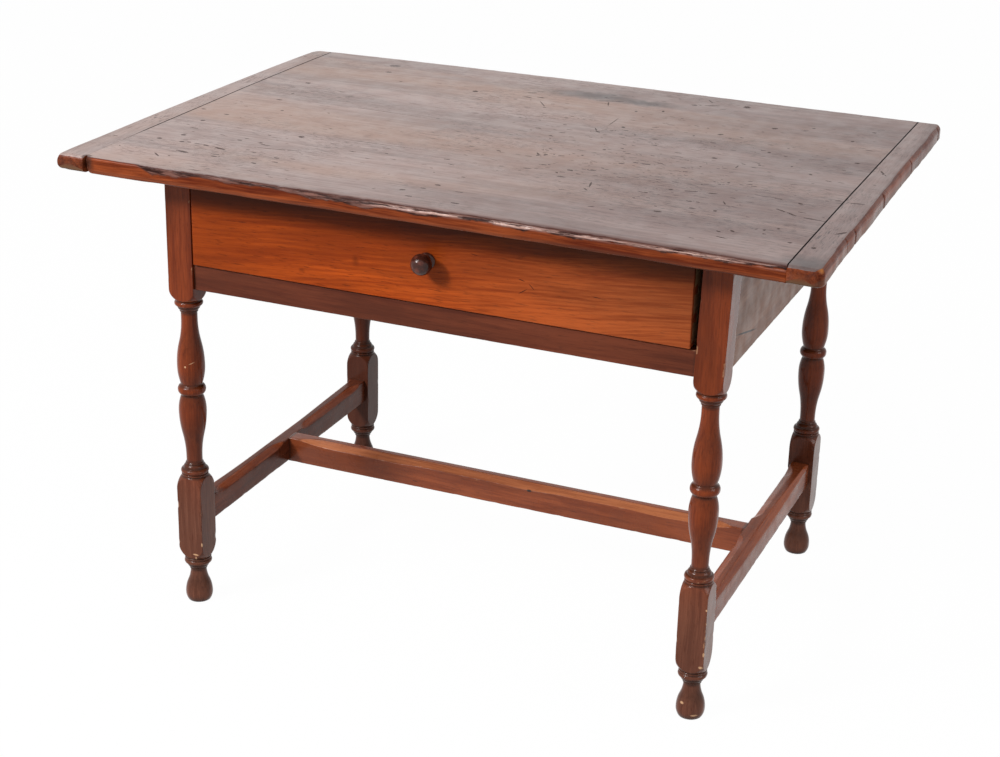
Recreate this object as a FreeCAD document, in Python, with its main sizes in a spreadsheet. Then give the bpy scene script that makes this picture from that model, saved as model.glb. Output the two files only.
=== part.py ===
import FreeCAD, Part
import Sketcher
import math
import os
import re

# A tavern table: breadboard-ended top, turned legs, deep aprons, an H of stretchers and one drawer.
# Millimetres. X runs along the table, -Y is the drawer side, Z is up.
# The origin is on the floor under the middle of the top.

DIMENSIONS = {
    # the whole table
    "table_height": 680,
    "leg_spread": 760,
    "leg_stance": 536,
    "base_setback": 9,
    # top
    "top_length": 1057,
    "top_depth": 721,
    "top_thickness": 23,
    "end_board_width": 45,
    "end_board_taper": 10,
    "tongue_length": 10,
    "tongue_thickness": 7,
    "tongue_stop": 20,
    "groove_room": 1,
    "front_corner": 12,
    "back_corner": 20,
    "top_round": 4,
    "underside_round": 2,
    # turned legs
    "leg_block": 39,
    "low_block_foot": 92,
    "low_block_head": 182,
    "upper_block_foot": 486,
    "low_root": 71.5,
    "middle_root": 200,
    "upper_root": 469.5,
    "foot_radius": 15,
    "foot_swell": 11.5,
    "swell_radius": 19.8,
    "bead_radius": 20,
    "quirk_radius": 17.8,
    "dome_radius": 16.3,
    "neck_radius": 11.5,
    "turning_reach": 29,
    "lower_swell": 302,
    "waist_ring": 334,
    "upper_swell": 370,
    # joints
    "tenon_thickness": 9,
    "tenon_length": 19,
    "mortise_depth": 20,
    "apron_shoulder": 10,
    "rail_shoulder": 6,
    # aprons and drawer rail
    "apron_depth": 163,
    "apron_thickness": 22,
    "apron_inset": 2,
    "rail_foot": 489.5,
    "rail_depth": 36,
    "rail_inset": 4,
    # stretchers
    "stretcher_foot": 121,
    "stretcher_depth": 37,
    "end_stretcher_width": 27,
    "medial_width": 25,
    "medial_depth": 39,
    "stretcher_shoulder": 6,
    "medial_tenon": 15,
    "end_chamfer_width": 9,
    "end_chamfer_drop": 5,
    "end_chamfer_runout": 30,
    "medial_chamfer_width": 14,
    "medial_chamfer_drop": 6,
    "medial_chamfer_runout": 40,
    "chamfer_margin": 14,
    # drawer runners, guides and stops
    "runner_height": 22,
    "runner_ledge": 25,
    "stub_length": 8,
    "stub_width": 20,
    "stub_height": 10,
    "guide_height": 28,
    "stop_length": 40,
    "stop_height": 6,
    "stop_spread": 200,
    # glue blocks under the top
    "block_length": 90,
    "block_size": 14,
    "block_flat": 4,
    # drawer
    "front_gap_left": 1.5,
    "front_gap_right": 6.5,
    "front_gap_above": 2,
    "front_gap_below": 1.5,
    "front_thickness": 20,
    "side_lift": 0.5,
    "side_height": 115,
    "side_thickness": 12,
    "tail_length": 14,
    "drawer_depth": 480,
    "back_thickness": 12,
    "bottom_lift": 10,
    "bottom_thickness": 8,
    "bottom_groove": 5,
    "bottom_slack": 0.5,
    "nail_width": 2.4,
    "nail_length": 26,
    "nail_head": 5,
    "nail_head_height": 1.2,
    "nail_spacing": 230,
    # knob
    "knob_side": 6,
    "knob_height": 588,
    "knob_collar": 11,
    "knob_neck": 7,
    "knob_radius": 14.5,
    "knob_length": 31,
    "knob_shank": 6,
    "knob_play": 0.1,
}

# Places worked out from the driving dimensions, as sheet expressions.
UNDERSIDE = "(table_height - top_thickness)"
LEG_X = "(leg_spread / 2)"
FRONT_LEG_Y = "(-base_setback - leg_stance / 2)"
BACK_LEG_Y = "(-base_setback + leg_stance / 2)"
HALF_BLOCK = "(leg_block / 2)"
APRON_LINE = "(leg_block / 2 - apron_inset - apron_thickness / 2)"
APRON_FOOT = "(table_height - top_thickness - apron_depth)"
APRON_INNER_X = "(leg_spread / 2 + leg_block / 2 - apron_inset - apron_thickness)"
APRON_INNER_Y = "(-base_setback + leg_stance / 2 + leg_block / 2 - apron_inset - apron_thickness)"
LEG_INNER_X = "(leg_spread / 2 - leg_block / 2)"
LEG_INNER_Y = "(leg_stance / 2 - leg_block / 2)"
RAIL_HALF = "(leg_block / 2 - rail_inset)"
RAIL_BACK_Y = "(-base_setback - leg_stance / 2 + leg_block / 2 - rail_inset)"
RAIL_HEAD = "(rail_foot + rail_depth)"
CORNER_REACH = "(leg_block * 0.7073)"
FRONT_FACE_Y = "(-base_setback - leg_stance / 2 - leg_block / 2)"
FRONT_BACK_Y = "(-base_setback - leg_stance / 2 - leg_block / 2 + front_thickness)"
DRAWER_WEST = "(-leg_spread / 2 + leg_block / 2 + front_gap_left)"
DRAWER_EAST = "(leg_spread / 2 - leg_block / 2 - front_gap_right)"
DRAWER_REAR_Y = "(-base_setback - leg_stance / 2 - leg_block / 2 + drawer_depth)"
SIDE_FOOT = "(rail_foot + rail_depth + side_lift)"
SIDE_HEAD = "(rail_foot + rail_depth + side_lift + side_height)"
BOTTOM_FOOT = "(rail_foot + rail_depth + side_lift + bottom_lift)"
BOTTOM_HEAD = "(rail_foot + rail_depth + side_lift + bottom_lift + bottom_thickness)"

# Steps of the turned collar, as distances from a block's shoulder along the leg.
RING_SPAN = (1.8, 3.6)
RING_SHIFT = 2.4
BEAD_START = 2.2
BEAD_HEIGHT = 7
DOME_START = 0.8
DOME_HEIGHT = 6.4
NECK_RING = (0.4, 2.0)
WAIST_BEAD = 7
SHOULDER_BEND = (0.66, 0.41)

# Dovetails: how much a tail narrows on each side per millimetre of its length.
TAIL_SLOPE = 1 / 6
TAIL_COUNT = 3

document = FreeCAD.newDocument("tavern_table")
sheet = document.addObject("Spreadsheet::Sheet", "dims")
for row, (alias, value) in enumerate(DIMENSIONS.items(), start=1):
    sheet.set(f"A{row}", alias)
    sheet.set(f"B{row}", str(value))
    sheet.setAlias(f"B{row}", alias)
document.recompute()

pieces = []


def bound(text):
    """The expression text with every alias given its sheet's name."""
    return re.sub(r"[a-z_]+", lambda alias: "dims." + alias.group(), str(text))


def number(text):
    """The value of an expression at the sheet's present sizes."""
    return float(sheet.evalExpression(bound(text)))


def piece(name, x="0", y="0", z="0"):
    """An empty body whose origin is placed at sheet expressions."""
    body = document.addObject("PartDesign::Body", name)
    body.Label = name
    for axis, text in zip("xyz", (x, y, z)):
        body.setExpression(f"Placement.Base.{axis}", bound(text))
    pieces.append(body)
    return body


def sketch_on(body, name, role, level="0"):
    """A sketch on one of the body's own origin planes, shifted along that plane's normal."""
    sketch = body.newObject("Sketcher::SketchObject", name)
    plane = [feature for feature in body.Origin.OriginFeatures if feature.Role == role][0]
    sketch.AttachmentSupport = [(plane, "")]
    sketch.MapMode = "FlatFace"
    sketch.setExpression("AttachmentOffset.Base.z", bound(level))
    return sketch


def edge(start, end, bend):
    """The line or the arc between two corners, with its ends' numbers in Sketcher's count."""
    if bend is None:
        return Part.LineSegment(start, end), 1, 2
    if (bend - start).cross(end - bend).z > 0:
        return Part.Arc(start, bend, end), 1, 2
    return Part.Arc(end, bend, start), 2, 1


def outline(sketch, points):
    """Add a closed wire to a sketch and hold every corner at its expressions.

    A corner is a pair of expressions. A plain vector between two corners is a point that their arc passes.
    """
    corners = [item for item in points if isinstance(item, tuple)]
    spots = [FreeCAD.Vector(number(across), number(along), 0) for across, along in corners]
    bends = [None] * len(corners)
    count = 0
    for item in points:
        if isinstance(item, tuple):
            count += 1
        else:
            bends[count - 1] = item
    edges = []
    for index, spot in enumerate(spots):
        shape, first, last = edge(spot, spots[(index + 1) % len(spots)], bends[index])
        edges.append((sketch.addGeometry(shape, False), first, last))
    held = []
    for index, (geometry, first, last) in enumerate(edges):
        following, follower, _ = edges[(index + 1) % len(edges)]
        held.append((Sketcher.Constraint("Coincident", geometry, last, following, follower), None))
        for kind, text in zip(("DistanceX", "DistanceY"), corners[index]):
            held.append((Sketcher.Constraint(kind, -1, 1, geometry, first, number(text)), text))
        if bends[index] is not None:
            dot = sketch.addGeometry(Part.Point(bends[index]), True)
            held.append((Sketcher.Constraint("DistanceX", -1, 1, dot, 1, bends[index].x), None))
            held.append((Sketcher.Constraint("DistanceY", -1, 1, dot, 1, bends[index].y), None))
            held.append((Sketcher.Constraint("PointOnObject", dot, 1, geometry), None))
    numbers = sketch.addConstraint([constraint for constraint, _ in held])
    for place, (_, text) in zip(numbers, held):
        if text is not None and re.search("[a-z]", text):
            sketch.setExpression(f"Constraints[{place}]", bound(text))
    return sketch


def rectangle(sketch, west, east, south, north):
    """A closed rectangle between four sheet expressions."""
    return outline(sketch, [(west, south), (east, south), (east, north), (west, north)])


def finish(feature, before, grows):
    """Recompute a feature and make sure that it really added or removed material."""
    document.recompute()
    change = feature.Shape.Volume - before
    if change == 0 or (change > 0) != grows:
        raise RuntimeError(f"{feature.Name} changed the volume by {change}")
    return feature


def volume(body):
    return 0 if body.Tip is None else body.Tip.Shape.Volume


def pad(body, sketch, length, symmetric=False, backwards=False):
    before = volume(body)
    feature = body.newObject("PartDesign::Pad", sketch.Name + "_pad")
    feature.Profile = sketch
    feature.SideType = "Symmetric" if symmetric else "One side"
    feature.Reversed = backwards
    feature.setExpression("Length", bound(length))
    return finish(feature, before, True)


def pocket(body, sketch, length, symmetric=False):
    """Cut along the sketch plane's normal."""
    before = volume(body)
    feature = body.newObject("PartDesign::Pocket", sketch.Name + "_pocket")
    feature.Profile = sketch
    feature.SideType = "Symmetric" if symmetric else "One side"
    feature.Reversed = True
    feature.setExpression("Length", bound(length))
    return finish(feature, before, False)


def block(body, name, x_span, y_span, foot, height):
    """Add a square-cornered block, drawn in plan and padded upwards."""
    return pad(body, rectangle(sketch_on(body, name, "XY_Plane", foot), *x_span, *y_span), height)


def mortise(body, name, x_span, y_span, foot, height):
    """Cut a square-cornered recess, drawn in plan and cut upwards."""
    return pocket(body, rectangle(sketch_on(body, name, "XY_Plane", foot), *x_span, *y_span), height)


def centred(width):
    """The span of a given width about zero."""
    return f"-({width}) / 2", f"({width}) / 2"


def ordered(first, second):
    """Two expressions in rising order."""
    return (first, second) if number(first) < number(second) else (second, first)


def signed(side, text):
    return text if side > 0 else f"-({text})"


# ------------------------------------------------------------------------------------------------ legs

def upright_bend(upright, other):
    """Middle of the arc that runs along the leg at one end and meets the other end."""
    reach = other.x - upright.x
    rise = other.y - upright.y
    chord = math.hypot(reach, rise)
    middle_x = upright.x + reach / 2 - abs(rise) * (chord - abs(rise)) / (2 * reach)
    return FreeCAD.Vector(middle_x, upright.y + math.copysign(chord / 2, rise), 0)


def vector(corner):
    return FreeCAD.Vector(number(corner[0]), number(corner[1]), 0)


def ogee(first, last):
    """The points between two corners joined by an S of two arcs, both ends running along the leg."""
    knee = (f"({first[0]} + {last[0]}) / 2", f"({first[1]} + {last[1]}) / 2")
    return [upright_bend(vector(first), vector(knee)), knee, upright_bend(vector(last), vector(knee))]


def collar(root, way, with_ring):
    """Turned collar from a block's shoulder out to the neck: quirk, thin ring, bead, dome and neck ring."""

    def at(radius, step):
        return radius, f"{root} + {way * step}"

    def bend(radius, step):
        return FreeCAD.Vector(number(radius), number(f"{root} + {way * step}"), 0)

    start = BEAD_START + (RING_SHIFT if with_ring else 0)
    end = start + BEAD_HEIGHT
    dome = end + DOME_START
    dome_end = dome + DOME_HEIGHT
    points = [at("bead_radius - 1.1", 0), at("quirk_radius", 1)]
    if with_ring:
        points += [at("bead_radius - 0.8", RING_SPAN[0]), at("bead_radius - 0.8", RING_SPAN[1])]
        points += [at("quirk_radius", RING_SPAN[1] + 0.4)]
    points += [at("quirk_radius", start), bend("bead_radius", start + BEAD_HEIGHT / 2), at("quirk_radius", end)]
    points += [at("dome_radius", dome - 0.3), at("dome_radius", dome)]
    points += [bend("dome_radius - 1.1", dome + 0.55 * DOME_HEIGHT), at("neck_radius + 0.7", dome_end)]
    points += [at("neck_radius + 1.4", dome_end + NECK_RING[0]), at("neck_radius + 1.4", dome_end + NECK_RING[1])]
    points += [at("neck_radius", dome_end + NECK_RING[1] + 0.5)]
    return points


def shoulder(root, corner_level):
    """The bend of a block's rounded shoulder, between the collar's root and the block's corner."""
    low = FreeCAD.Vector(number("bead_radius - 1.1"), number(root), 0)
    high = FreeCAD.Vector(number(CORNER_REACH), number(corner_level), 0)
    across, along = SHOULDER_BEND
    return FreeCAD.Vector(low.x + (high.x - low.x) * across, low.y + (high.y - low.y) * along, 0)


def foot_profile():
    """What the lathe takes off below the stretcher block, from the floor up."""
    swell = ("swell_radius", "foot_swell")
    sole = ("foot_radius", "0")
    neck = collar("low_root", -1, True)[::-1]
    return [sole, upright_bend(vector(swell), vector(sole)), swell, *ogee(swell, neck[0]), *neck,
            shoulder("low_root", "low_block_foot"), (CORNER_REACH, "low_block_foot"),
            ("turning_reach", "low_block_foot"), ("turning_reach", "0")]


def shaft_profile():
    """What the lathe takes off between the stretcher block and the apron block, from the bottom up."""
    low_collar = collar("middle_root", 1, True)
    high_collar = collar("upper_root", -1, False)[::-1]
    low_neck = ("neck_radius", "middle_root + 30")
    high_neck = ("neck_radius", "upper_root - 29.5")
    low_swell = ("swell_radius", "lower_swell")
    high_swell = ("swell_radius", "upper_swell")
    low_quirk = ("dome_radius - 0.9", f"waist_ring - {WAIST_BEAD + 1.5}")
    high_quirk = ("dome_radius - 0.9", f"waist_ring + {WAIST_BEAD + 1.5}")
    ring = [("dome_radius", f"waist_ring - {WAIST_BEAD}"),
            FreeCAD.Vector(number("bead_radius"), number("waist_ring"), 0),
            ("dome_radius", f"waist_ring + {WAIST_BEAD}")]
    return [("turning_reach", "low_block_head"), (CORNER_REACH, "low_block_head"),
            shoulder("middle_root", "low_block_head"), *low_collar,
            low_neck, *ogee(low_neck, low_swell), low_swell,
            upright_bend(vector(low_swell), vector(low_quirk)), low_quirk,
            *ring,
            high_quirk, upright_bend(vector(high_swell), vector(high_quirk)), high_swell,
            *ogee(high_swell, high_neck), high_neck, *high_collar,
            shoulder("upper_root", "upper_block_foot"), (CORNER_REACH, "upper_block_foot"),
            ("turning_reach", "upper_block_foot")]


def turn(body, name, profile):
    """Groove the square stock with a lathe profile of (radius, height)."""
    before = volume(body)
    sketch = outline(sketch_on(body, name, "XZ_Plane"), profile)
    document.recompute()
    feature = body.newObject("PartDesign::Groove", name + "_groove")
    feature.Profile = sketch
    feature.ReferenceAxis = (sketch, ["V_Axis"])
    feature.Angle = 360
    return finish(feature, before, False)


def leg(name, side, end):
    """A turned leg. side is -1 at the left and 1 at the right, end is -1 at the front and 1 at the back."""
    body = piece(name, signed(side, LEG_X), FRONT_LEG_Y if end < 0 else BACK_LEG_Y)
    block(body, name + "_stock", centred("leg_block"), centred("leg_block"), "0", UNDERSIDE)
    turn(body, name + "_foot", foot_profile())
    turn(body, name + "_shaft", shaft_profile())
    inner = f"({HALF_BLOCK})"
    depth_y = ordered(signed(-end, inner), signed(-end, f"({inner} - mortise_depth)"))
    depth_x = ordered(signed(-side, inner), signed(-side, f"({inner} - mortise_depth)"))
    across_apron = ordered(*(signed(side, f"({APRON_LINE} + {half} * tenon_thickness)") for half in (-0.5, 0.5)))
    apron_height = "apron_depth - 2 * apron_shoulder"
    mortise(body, name + "_apron_mortise", across_apron, depth_y,
            f"{APRON_FOOT} + apron_shoulder", apron_height)
    mortise(body, name + "_stretcher_mortise", centred("tenon_thickness"), depth_y,
            "stretcher_foot + stretcher_shoulder", "stretcher_depth - 2 * stretcher_shoulder")
    if end < 0:
        mortise(body, name + "_rail_mortise", depth_x, centred("tenon_thickness"),
                "rail_foot + rail_shoulder", "rail_depth - 2 * rail_shoulder")
    else:
        along = tuple(f"{APRON_LINE} + {half} * tenon_thickness" for half in (-0.5, 0.5))
        mortise(body, name + "_back_mortise", depth_x, along, f"{APRON_FOOT} + apron_shoulder", apron_height)


# ------------------------------------------------------------------------------------ aprons and rail

def end_apron(name, side):
    body = piece(name, signed(side, f"({LEG_X} + {APRON_LINE})"), "-base_setback", APRON_FOOT)
    block(body, name + "_board", centred("apron_thickness"), centred(f"2 * {LEG_INNER_Y}"), "0", "apron_depth")
    block(body, name + "_tenons", centred("tenon_thickness"), centred(f"2 * ({LEG_INNER_Y} + tenon_length)"),
          "apron_shoulder", "apron_depth - 2 * apron_shoulder")


def runner_stub(side):
    """Plan span of a runner's stub tenon, measured along the table."""
    inner = f"({LEG_INNER_X} - runner_ledge + 2)"
    return ordered(signed(side, inner), signed(side, f"({inner} + stub_width)"))


STUB_FOOT = "(rail_foot + rail_depth - runner_height + 6)"


def back_apron():
    body = piece("back_apron", "0", f"{BACK_LEG_Y} + {APRON_LINE}", APRON_FOOT)
    block(body, "back_board", centred(f"2 * {LEG_INNER_X}"), centred("apron_thickness"), "0", "apron_depth")
    block(body, "back_tenons", centred(f"2 * ({LEG_INNER_X} + tenon_length)"), centred("tenon_thickness"),
          "apron_shoulder", "apron_depth - 2 * apron_shoulder")
    for side, word in ((-1, "left"), (1, "right")):
        mortise(body, f"back_housing_{word}", runner_stub(side),
                ("-apron_thickness / 2", "stub_length - apron_thickness / 2"),
                f"{STUB_FOOT} - {APRON_FOOT}", "stub_height")


def drawer_rail():
    body = piece("drawer_rail", "0", FRONT_LEG_Y, "rail_foot")
    block(body, "rail_board", centred(f"2 * {LEG_INNER_X}"), centred(f"2 * {RAIL_HALF}"), "0", "rail_depth")
    block(body, "rail_tenons", centred(f"2 * ({LEG_INNER_X} + tenon_length)"), centred("tenon_thickness"),
          "rail_shoulder", "rail_depth - 2 * rail_shoulder")
    for side, word in ((-1, "left"), (1, "right")):
        mortise(body, f"rail_housing_{word}", runner_stub(side),
                (f"{RAIL_HALF} - stub_length", RAIL_HALF), f"{STUB_FOOT} - rail_foot", "stub_height")


# ------------------------------------------------------------------------------------------ stretchers

def stopped_chamfer(body, name, kind, side, arris, start, end):
    """Plane off an upper arris between two places, running out in a curve at both ends.

    kind is "end" or "medial", side is -1 or 1 across the stretcher, and arris is its (distance, height).
    """
    tilt = math.degrees(math.atan2(number(f"{kind}_chamfer_drop"), number(f"{kind}_chamfer_width")))
    depth = number(f"{kind}_chamfer_width") * math.sin(math.radians(tilt))
    sketch = sketch_on(body, name, "YZ_Plane", signed(side, arris[0]))
    sketch.AttachmentOffset = FreeCAD.Placement(
        FreeCAD.Vector(0, 0, 0), FreeCAD.Rotation(FreeCAD.Vector(1, 0, 0), side * tilt))
    sketch.setExpression("AttachmentOffset.Base.y", bound(arris[1]))
    runout = number(f"{kind}_chamfer_runout")
    radius = (depth ** 2 + runout ** 2) / (2 * depth)
    sweep = math.asin(runout / radius) / 2
    dip = radius * (1 - math.cos(sweep)) - depth
    level = f"-{depth}"
    first_bend = FreeCAD.Vector(number(start) + runout - radius * math.sin(sweep), dip, 0)
    last_bend = FreeCAD.Vector(number(end) - runout + radius * math.sin(sweep), dip, 0)
    outline(sketch, [(start, "0"), first_bend, (f"{start} + {kind}_chamfer_runout", level),
                     (f"{end} - {kind}_chamfer_runout", level), last_bend, (end, "0"), (end, "2"), (start, "2")])
    return pocket(body, sketch, f"3 * {kind}_chamfer_width", symmetric=True)


def stretcher_bar(name, body, width, half_length, tenon, foot, depth):
    """A bar along its own Y, with a tenon at each end at the end stretchers' mortise height."""
    block(body, name + "_bar", centred(width), centred(f"2 * {half_length}"), foot, depth)
    block(body, name + "_tenons", centred("tenon_thickness"), centred(f"2 * ({half_length} + {tenon})"),
          "stretcher_shoulder", "stretcher_depth - 2 * stretcher_shoulder")


def end_stretcher(name, side):
    """Low side bar of the H, chamfered along its inner upper arris in front of and behind the medial bar."""
    body = piece(name, signed(side, LEG_X), "-base_setback", "stretcher_foot")
    beside = "(medial_width / 2 + chamfer_margin)"
    far = f"({LEG_INNER_Y} - chamfer_margin)"
    inner = "(end_stretcher_width / 2)"
    stretcher_bar(name, body, "end_stretcher_width", LEG_INNER_Y, "tenon_length", "0", "stretcher_depth")
    for word, start, end in (("front", f"-{far}", f"-{beside}"), ("back", beside, far)):
        stopped_chamfer(body, f"{name}_{word}_chamfer", "end", -side, (inner, "stretcher_depth"), start, end)
    cut = ordered(signed(-side, inner), signed(-side, f"({inner} - medial_tenon - groove_room)"))
    mortise(body, name + "_medial_mortise", cut, centred("tenon_thickness"),
            "stretcher_shoulder", "stretcher_depth - 2 * stretcher_shoulder")


def medial_stretcher():
    """Middle bar of the H, flush with the side bars on top and broadly chamfered along its front arris."""
    body = piece("medial_stretcher", "0", "-base_setback", "stretcher_foot")
    body.Placement.Rotation = FreeCAD.Rotation(FreeCAD.Vector(0, 0, 1), 90)
    half = "(leg_spread / 2 - end_stretcher_width / 2)"
    far = f"({half} - chamfer_margin)"
    stretcher_bar("medial", body, "medial_width", half, "medial_tenon", "stretcher_depth - medial_depth",
                  "medial_depth")
    stopped_chamfer(body, "medial_chamfer", "medial", -1, ("medial_width / 2", "stretcher_depth"), f"-{far}", far)


# ------------------------------------------------------------------------- runners, guides, stops, blocks

def runner(name, side):
    """Bearer under a drawer side, notched round both legs and stub-tenoned into the rail and the back apron."""
    body = piece(name, "0", "0", f"{RAIL_HEAD} - runner_height")
    ledge = ordered(signed(side, f"({LEG_INNER_X} - runner_ledge)"), signed(side, LEG_INNER_X))
    full = ordered(signed(side, f"({LEG_INNER_X} - runner_ledge)"), signed(side, APRON_INNER_X))
    between_legs = (f"-base_setback - {LEG_INNER_Y}", f"-base_setback + {LEG_INNER_Y}")
    block(body, name + "_ledge", ledge, (RAIL_BACK_Y, APRON_INNER_Y), "0", "runner_height")
    block(body, name + "_web", full, between_legs, "0", "runner_height")
    stub = (f"{RAIL_BACK_Y} - stub_length", f"{APRON_INNER_Y} + stub_length")
    block(body, name + "_stubs", runner_stub(side), stub,
          f"{STUB_FOOT} - ({RAIL_HEAD} - runner_height)", "stub_height")


def guide(name, side):
    """Strip on a runner that fills from the apron to the line of the legs' inner faces."""
    body = piece(name, "0", "-base_setback", RAIL_HEAD)
    block(body, name + "_strip", ordered(signed(side, LEG_INNER_X), signed(side, APRON_INNER_X)),
          centred(f"2 * {LEG_INNER_Y}"), "0", "guide_height")


def drawer_stop(name, side):
    """Small block on the drawer rail that the drawer front meets when the drawer is shut."""
    body = piece(name, signed(side, "stop_spread"), "0", RAIL_HEAD)
    block(body, name + "_block", centred("stop_length"), (f"{FRONT_BACK_Y} + side_lift", RAIL_BACK_Y),
          "0", "stop_height")


def glue_block(name, x, y, turn_angle):
    """Rubbed block in the angle between an apron and the top: a prism with its inner arris planed off."""
    body = piece(name, x, y, UNDERSIDE)
    body.Placement.Rotation = FreeCAD.Rotation(FreeCAD.Vector(0, 0, 1), turn_angle)
    section = outline(sketch_on(body, name + "_section", "XZ_Plane"),
                      [("0", "0"), ("0", "-block_size"), ("block_flat", "-block_size"),
                       ("block_size", "-block_flat"), ("block_size", "0")])
    pad(body, section, "block_length", symmetric=True)


# ------------------------------------------------------------------------------------------------- top

def round_edges(body, name, radius, wanted):
    """Fillet the edges that pass a test on their bounding box."""
    document.recompute()
    base = body.Tip
    chosen = [f"Edge{index}" for index, line in enumerate(base.Shape.Edges, start=1) if wanted(line.BoundBox)]
    feature = body.newObject("PartDesign::Fillet", name)
    feature.Base = (base, chosen)
    feature.setExpression("Radius", bound(radius))
    return finish(feature, base.Shape.Volume, False)


def top_board():
    body = piece("top_board", "0", "0", UNDERSIDE)
    length = "(top_length - 2 * end_board_width)"
    block(body, "top_board_slab", centred(length), centred("top_depth"), "0", "top_thickness")
    block(body, "top_board_tongues", centred(f"{length} + 2 * tongue_length"),
          centred("top_depth - 2 * tongue_stop"),
          "(top_thickness - tongue_thickness) / 2", "tongue_thickness")
    reach = number("top_depth / 2") - 1
    height = number("top_thickness")
    for name, radius, level in (("top_arris", "top_round", height), ("under_arris", "underside_round", 0)):
        def on_long_edge(box, level=level):
            return abs(box.YMin) > reach and box.YLength < 1 and box.ZLength < 1 and abs(box.ZMin - level) < 1
        round_edges(body, name, radius, on_long_edge)


def breadboard_end(name, side):
    """Cross-grain end of the top, grooved for the centre board's tongue.

    It narrows towards the back, and its outer corners are worn round.
    """
    inner = "(top_length / 2 - end_board_width)"
    body = piece(name, signed(side, inner), "0", UNDERSIDE)
    front, back = centred("top_depth")
    front_tip = signed(side, "end_board_width")
    back_tip = signed(side, "(end_board_width - end_board_taper)")
    plan = outline(sketch_on(body, name + "_bar", "XY_Plane"),
                   [("0", front), (front_tip, front), (back_tip, back), ("0", back)])
    pad(body, plan, "top_thickness")
    mortise(body, name + "_groove", ordered("0", signed(side, "(tongue_length + groove_room)")),
            centred("top_depth - 2 * tongue_stop"),
            "(top_thickness - tongue_thickness) / 2", "tongue_thickness")
    def corner(end, tip):
        def test(box):
            upright = box.ZLength > number("top_thickness") - 1
            return upright and abs(box.XMin - number(tip)) < 1 and box.YMin * end > number("top_depth / 2") - 1
        return test

    round_edges(body, name + "_front_corner", "front_corner", corner(-1, front_tip))
    round_edges(body, name + "_back_corner", "back_corner", corner(1, back_tip))

    def outer_edge(level):
        def test(box):
            flat = box.ZLength < 0.1 and abs(box.ZMin - level) < 0.1
            outside = max(abs(box.XMin), abs(box.XMax)) > number("end_board_width") - 1
            at_ends = max(abs(box.YMin), abs(box.YMax)) > number("top_depth / 2") - 1
            return flat and (outside or at_ends) and max(box.XLength, box.YLength) > 1 \
                and not (abs(box.XMin) < 0.1 and box.XLength < 0.1)
        return test

    round_edges(body, name + "_arris", "top_round", outer_edge(number("top_thickness")))
    round_edges(body, name + "_under_arris", "underside_round", outer_edge(0))


# ---------------------------------------------------------------------------------------------- drawer

def tails(low, high, near, far):
    """Dovetail outlines between two heights: each is narrow at near, the shoulder, and wide at far."""
    narrow, wide = number(near), number(far)
    half_pin = 0.06 * (number(high) - number(low))
    pin = 0.09 * (number(high) - number(low))
    tail = (number(high) - number(low) - 2 * half_pin - (TAIL_COUNT - 1) * pin) / TAIL_COUNT
    taper = abs(wide - narrow) * TAIL_SLOPE
    shapes = []
    for index in range(TAIL_COUNT):
        foot = f"{low} + {half_pin + index * (tail + pin)}"
        head = f"{low} + {half_pin + index * (tail + pin) + tail}"
        shapes.append([(near, f"{foot} + {taper}"), (far, foot), (far, head), (near, f"{head} - {taper}")])
    return shapes


FRONT_TAILS = tails(SIDE_FOOT, SIDE_HEAD, FRONT_BACK_Y, f"{FRONT_BACK_Y} - tail_length")
BACK_TAILS = tails(BOTTOM_HEAD, SIDE_HEAD, f"{DRAWER_REAR_Y} - back_thickness", DRAWER_REAR_Y)


def side_faces(side):
    """Outer and inner face of a drawer side, in rising order."""
    outer = DRAWER_WEST if side < 0 else DRAWER_EAST
    inner = f"({outer} + side_thickness)" if side < 0 else f"({outer} - side_thickness)"
    return ordered(outer, inner)


def tail_sketch(body, name, side, shapes):
    """The tails of one drawer side, drawn on the plane of that side's lower-numbered face."""
    sketch = sketch_on(body, name, "YZ_Plane", side_faces(side)[0])
    for shape in shapes:
        outline(sketch, shape)
    return sketch


def drawer_front():
    body = piece("drawer_front")
    foot = f"{RAIL_HEAD} + front_gap_below"
    head = f"{UNDERSIDE} - front_gap_above"
    block(body, "front_board", (DRAWER_WEST, DRAWER_EAST), (FRONT_FACE_Y, FRONT_BACK_Y), foot,
          f"{head} - ({foot})")
    for side, word in ((-1, "left"), (1, "right")):
        pocket(body, tail_sketch(body, f"front_sockets_{word}", side, FRONT_TAILS), "side_thickness")
    mortise(body, "front_groove",
            (f"{side_faces(-1)[1]} - bottom_groove", f"{side_faces(1)[0]} + bottom_groove"),
            (f"{FRONT_BACK_Y} - bottom_groove", FRONT_BACK_Y), BOTTOM_FOOT, "bottom_thickness")
    hole = sketch_on(body, "shank_hole", "XZ_Plane", f"-({FRONT_BACK_Y})")
    centre = hole.addGeometry(Part.Circle(FreeCAD.Vector(-number("knob_side"), number("knob_height"), 0),
                                          FreeCAD.Vector(0, 0, 1), number("knob_shank + knob_play")), False)
    limits = (("DistanceX", (-1, 1, centre, 3), "-knob_side"), ("DistanceY", (-1, 1, centre, 3), "knob_height"),
              ("Radius", (centre,), "knob_shank + knob_play"))
    for kind, where, text in limits:
        place = hole.addConstraint(Sketcher.Constraint(kind, *where, number(text)))
        hole.setExpression(f"Constraints[{place}]", bound(text))
    pocket(body, hole, "front_thickness")


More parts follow.
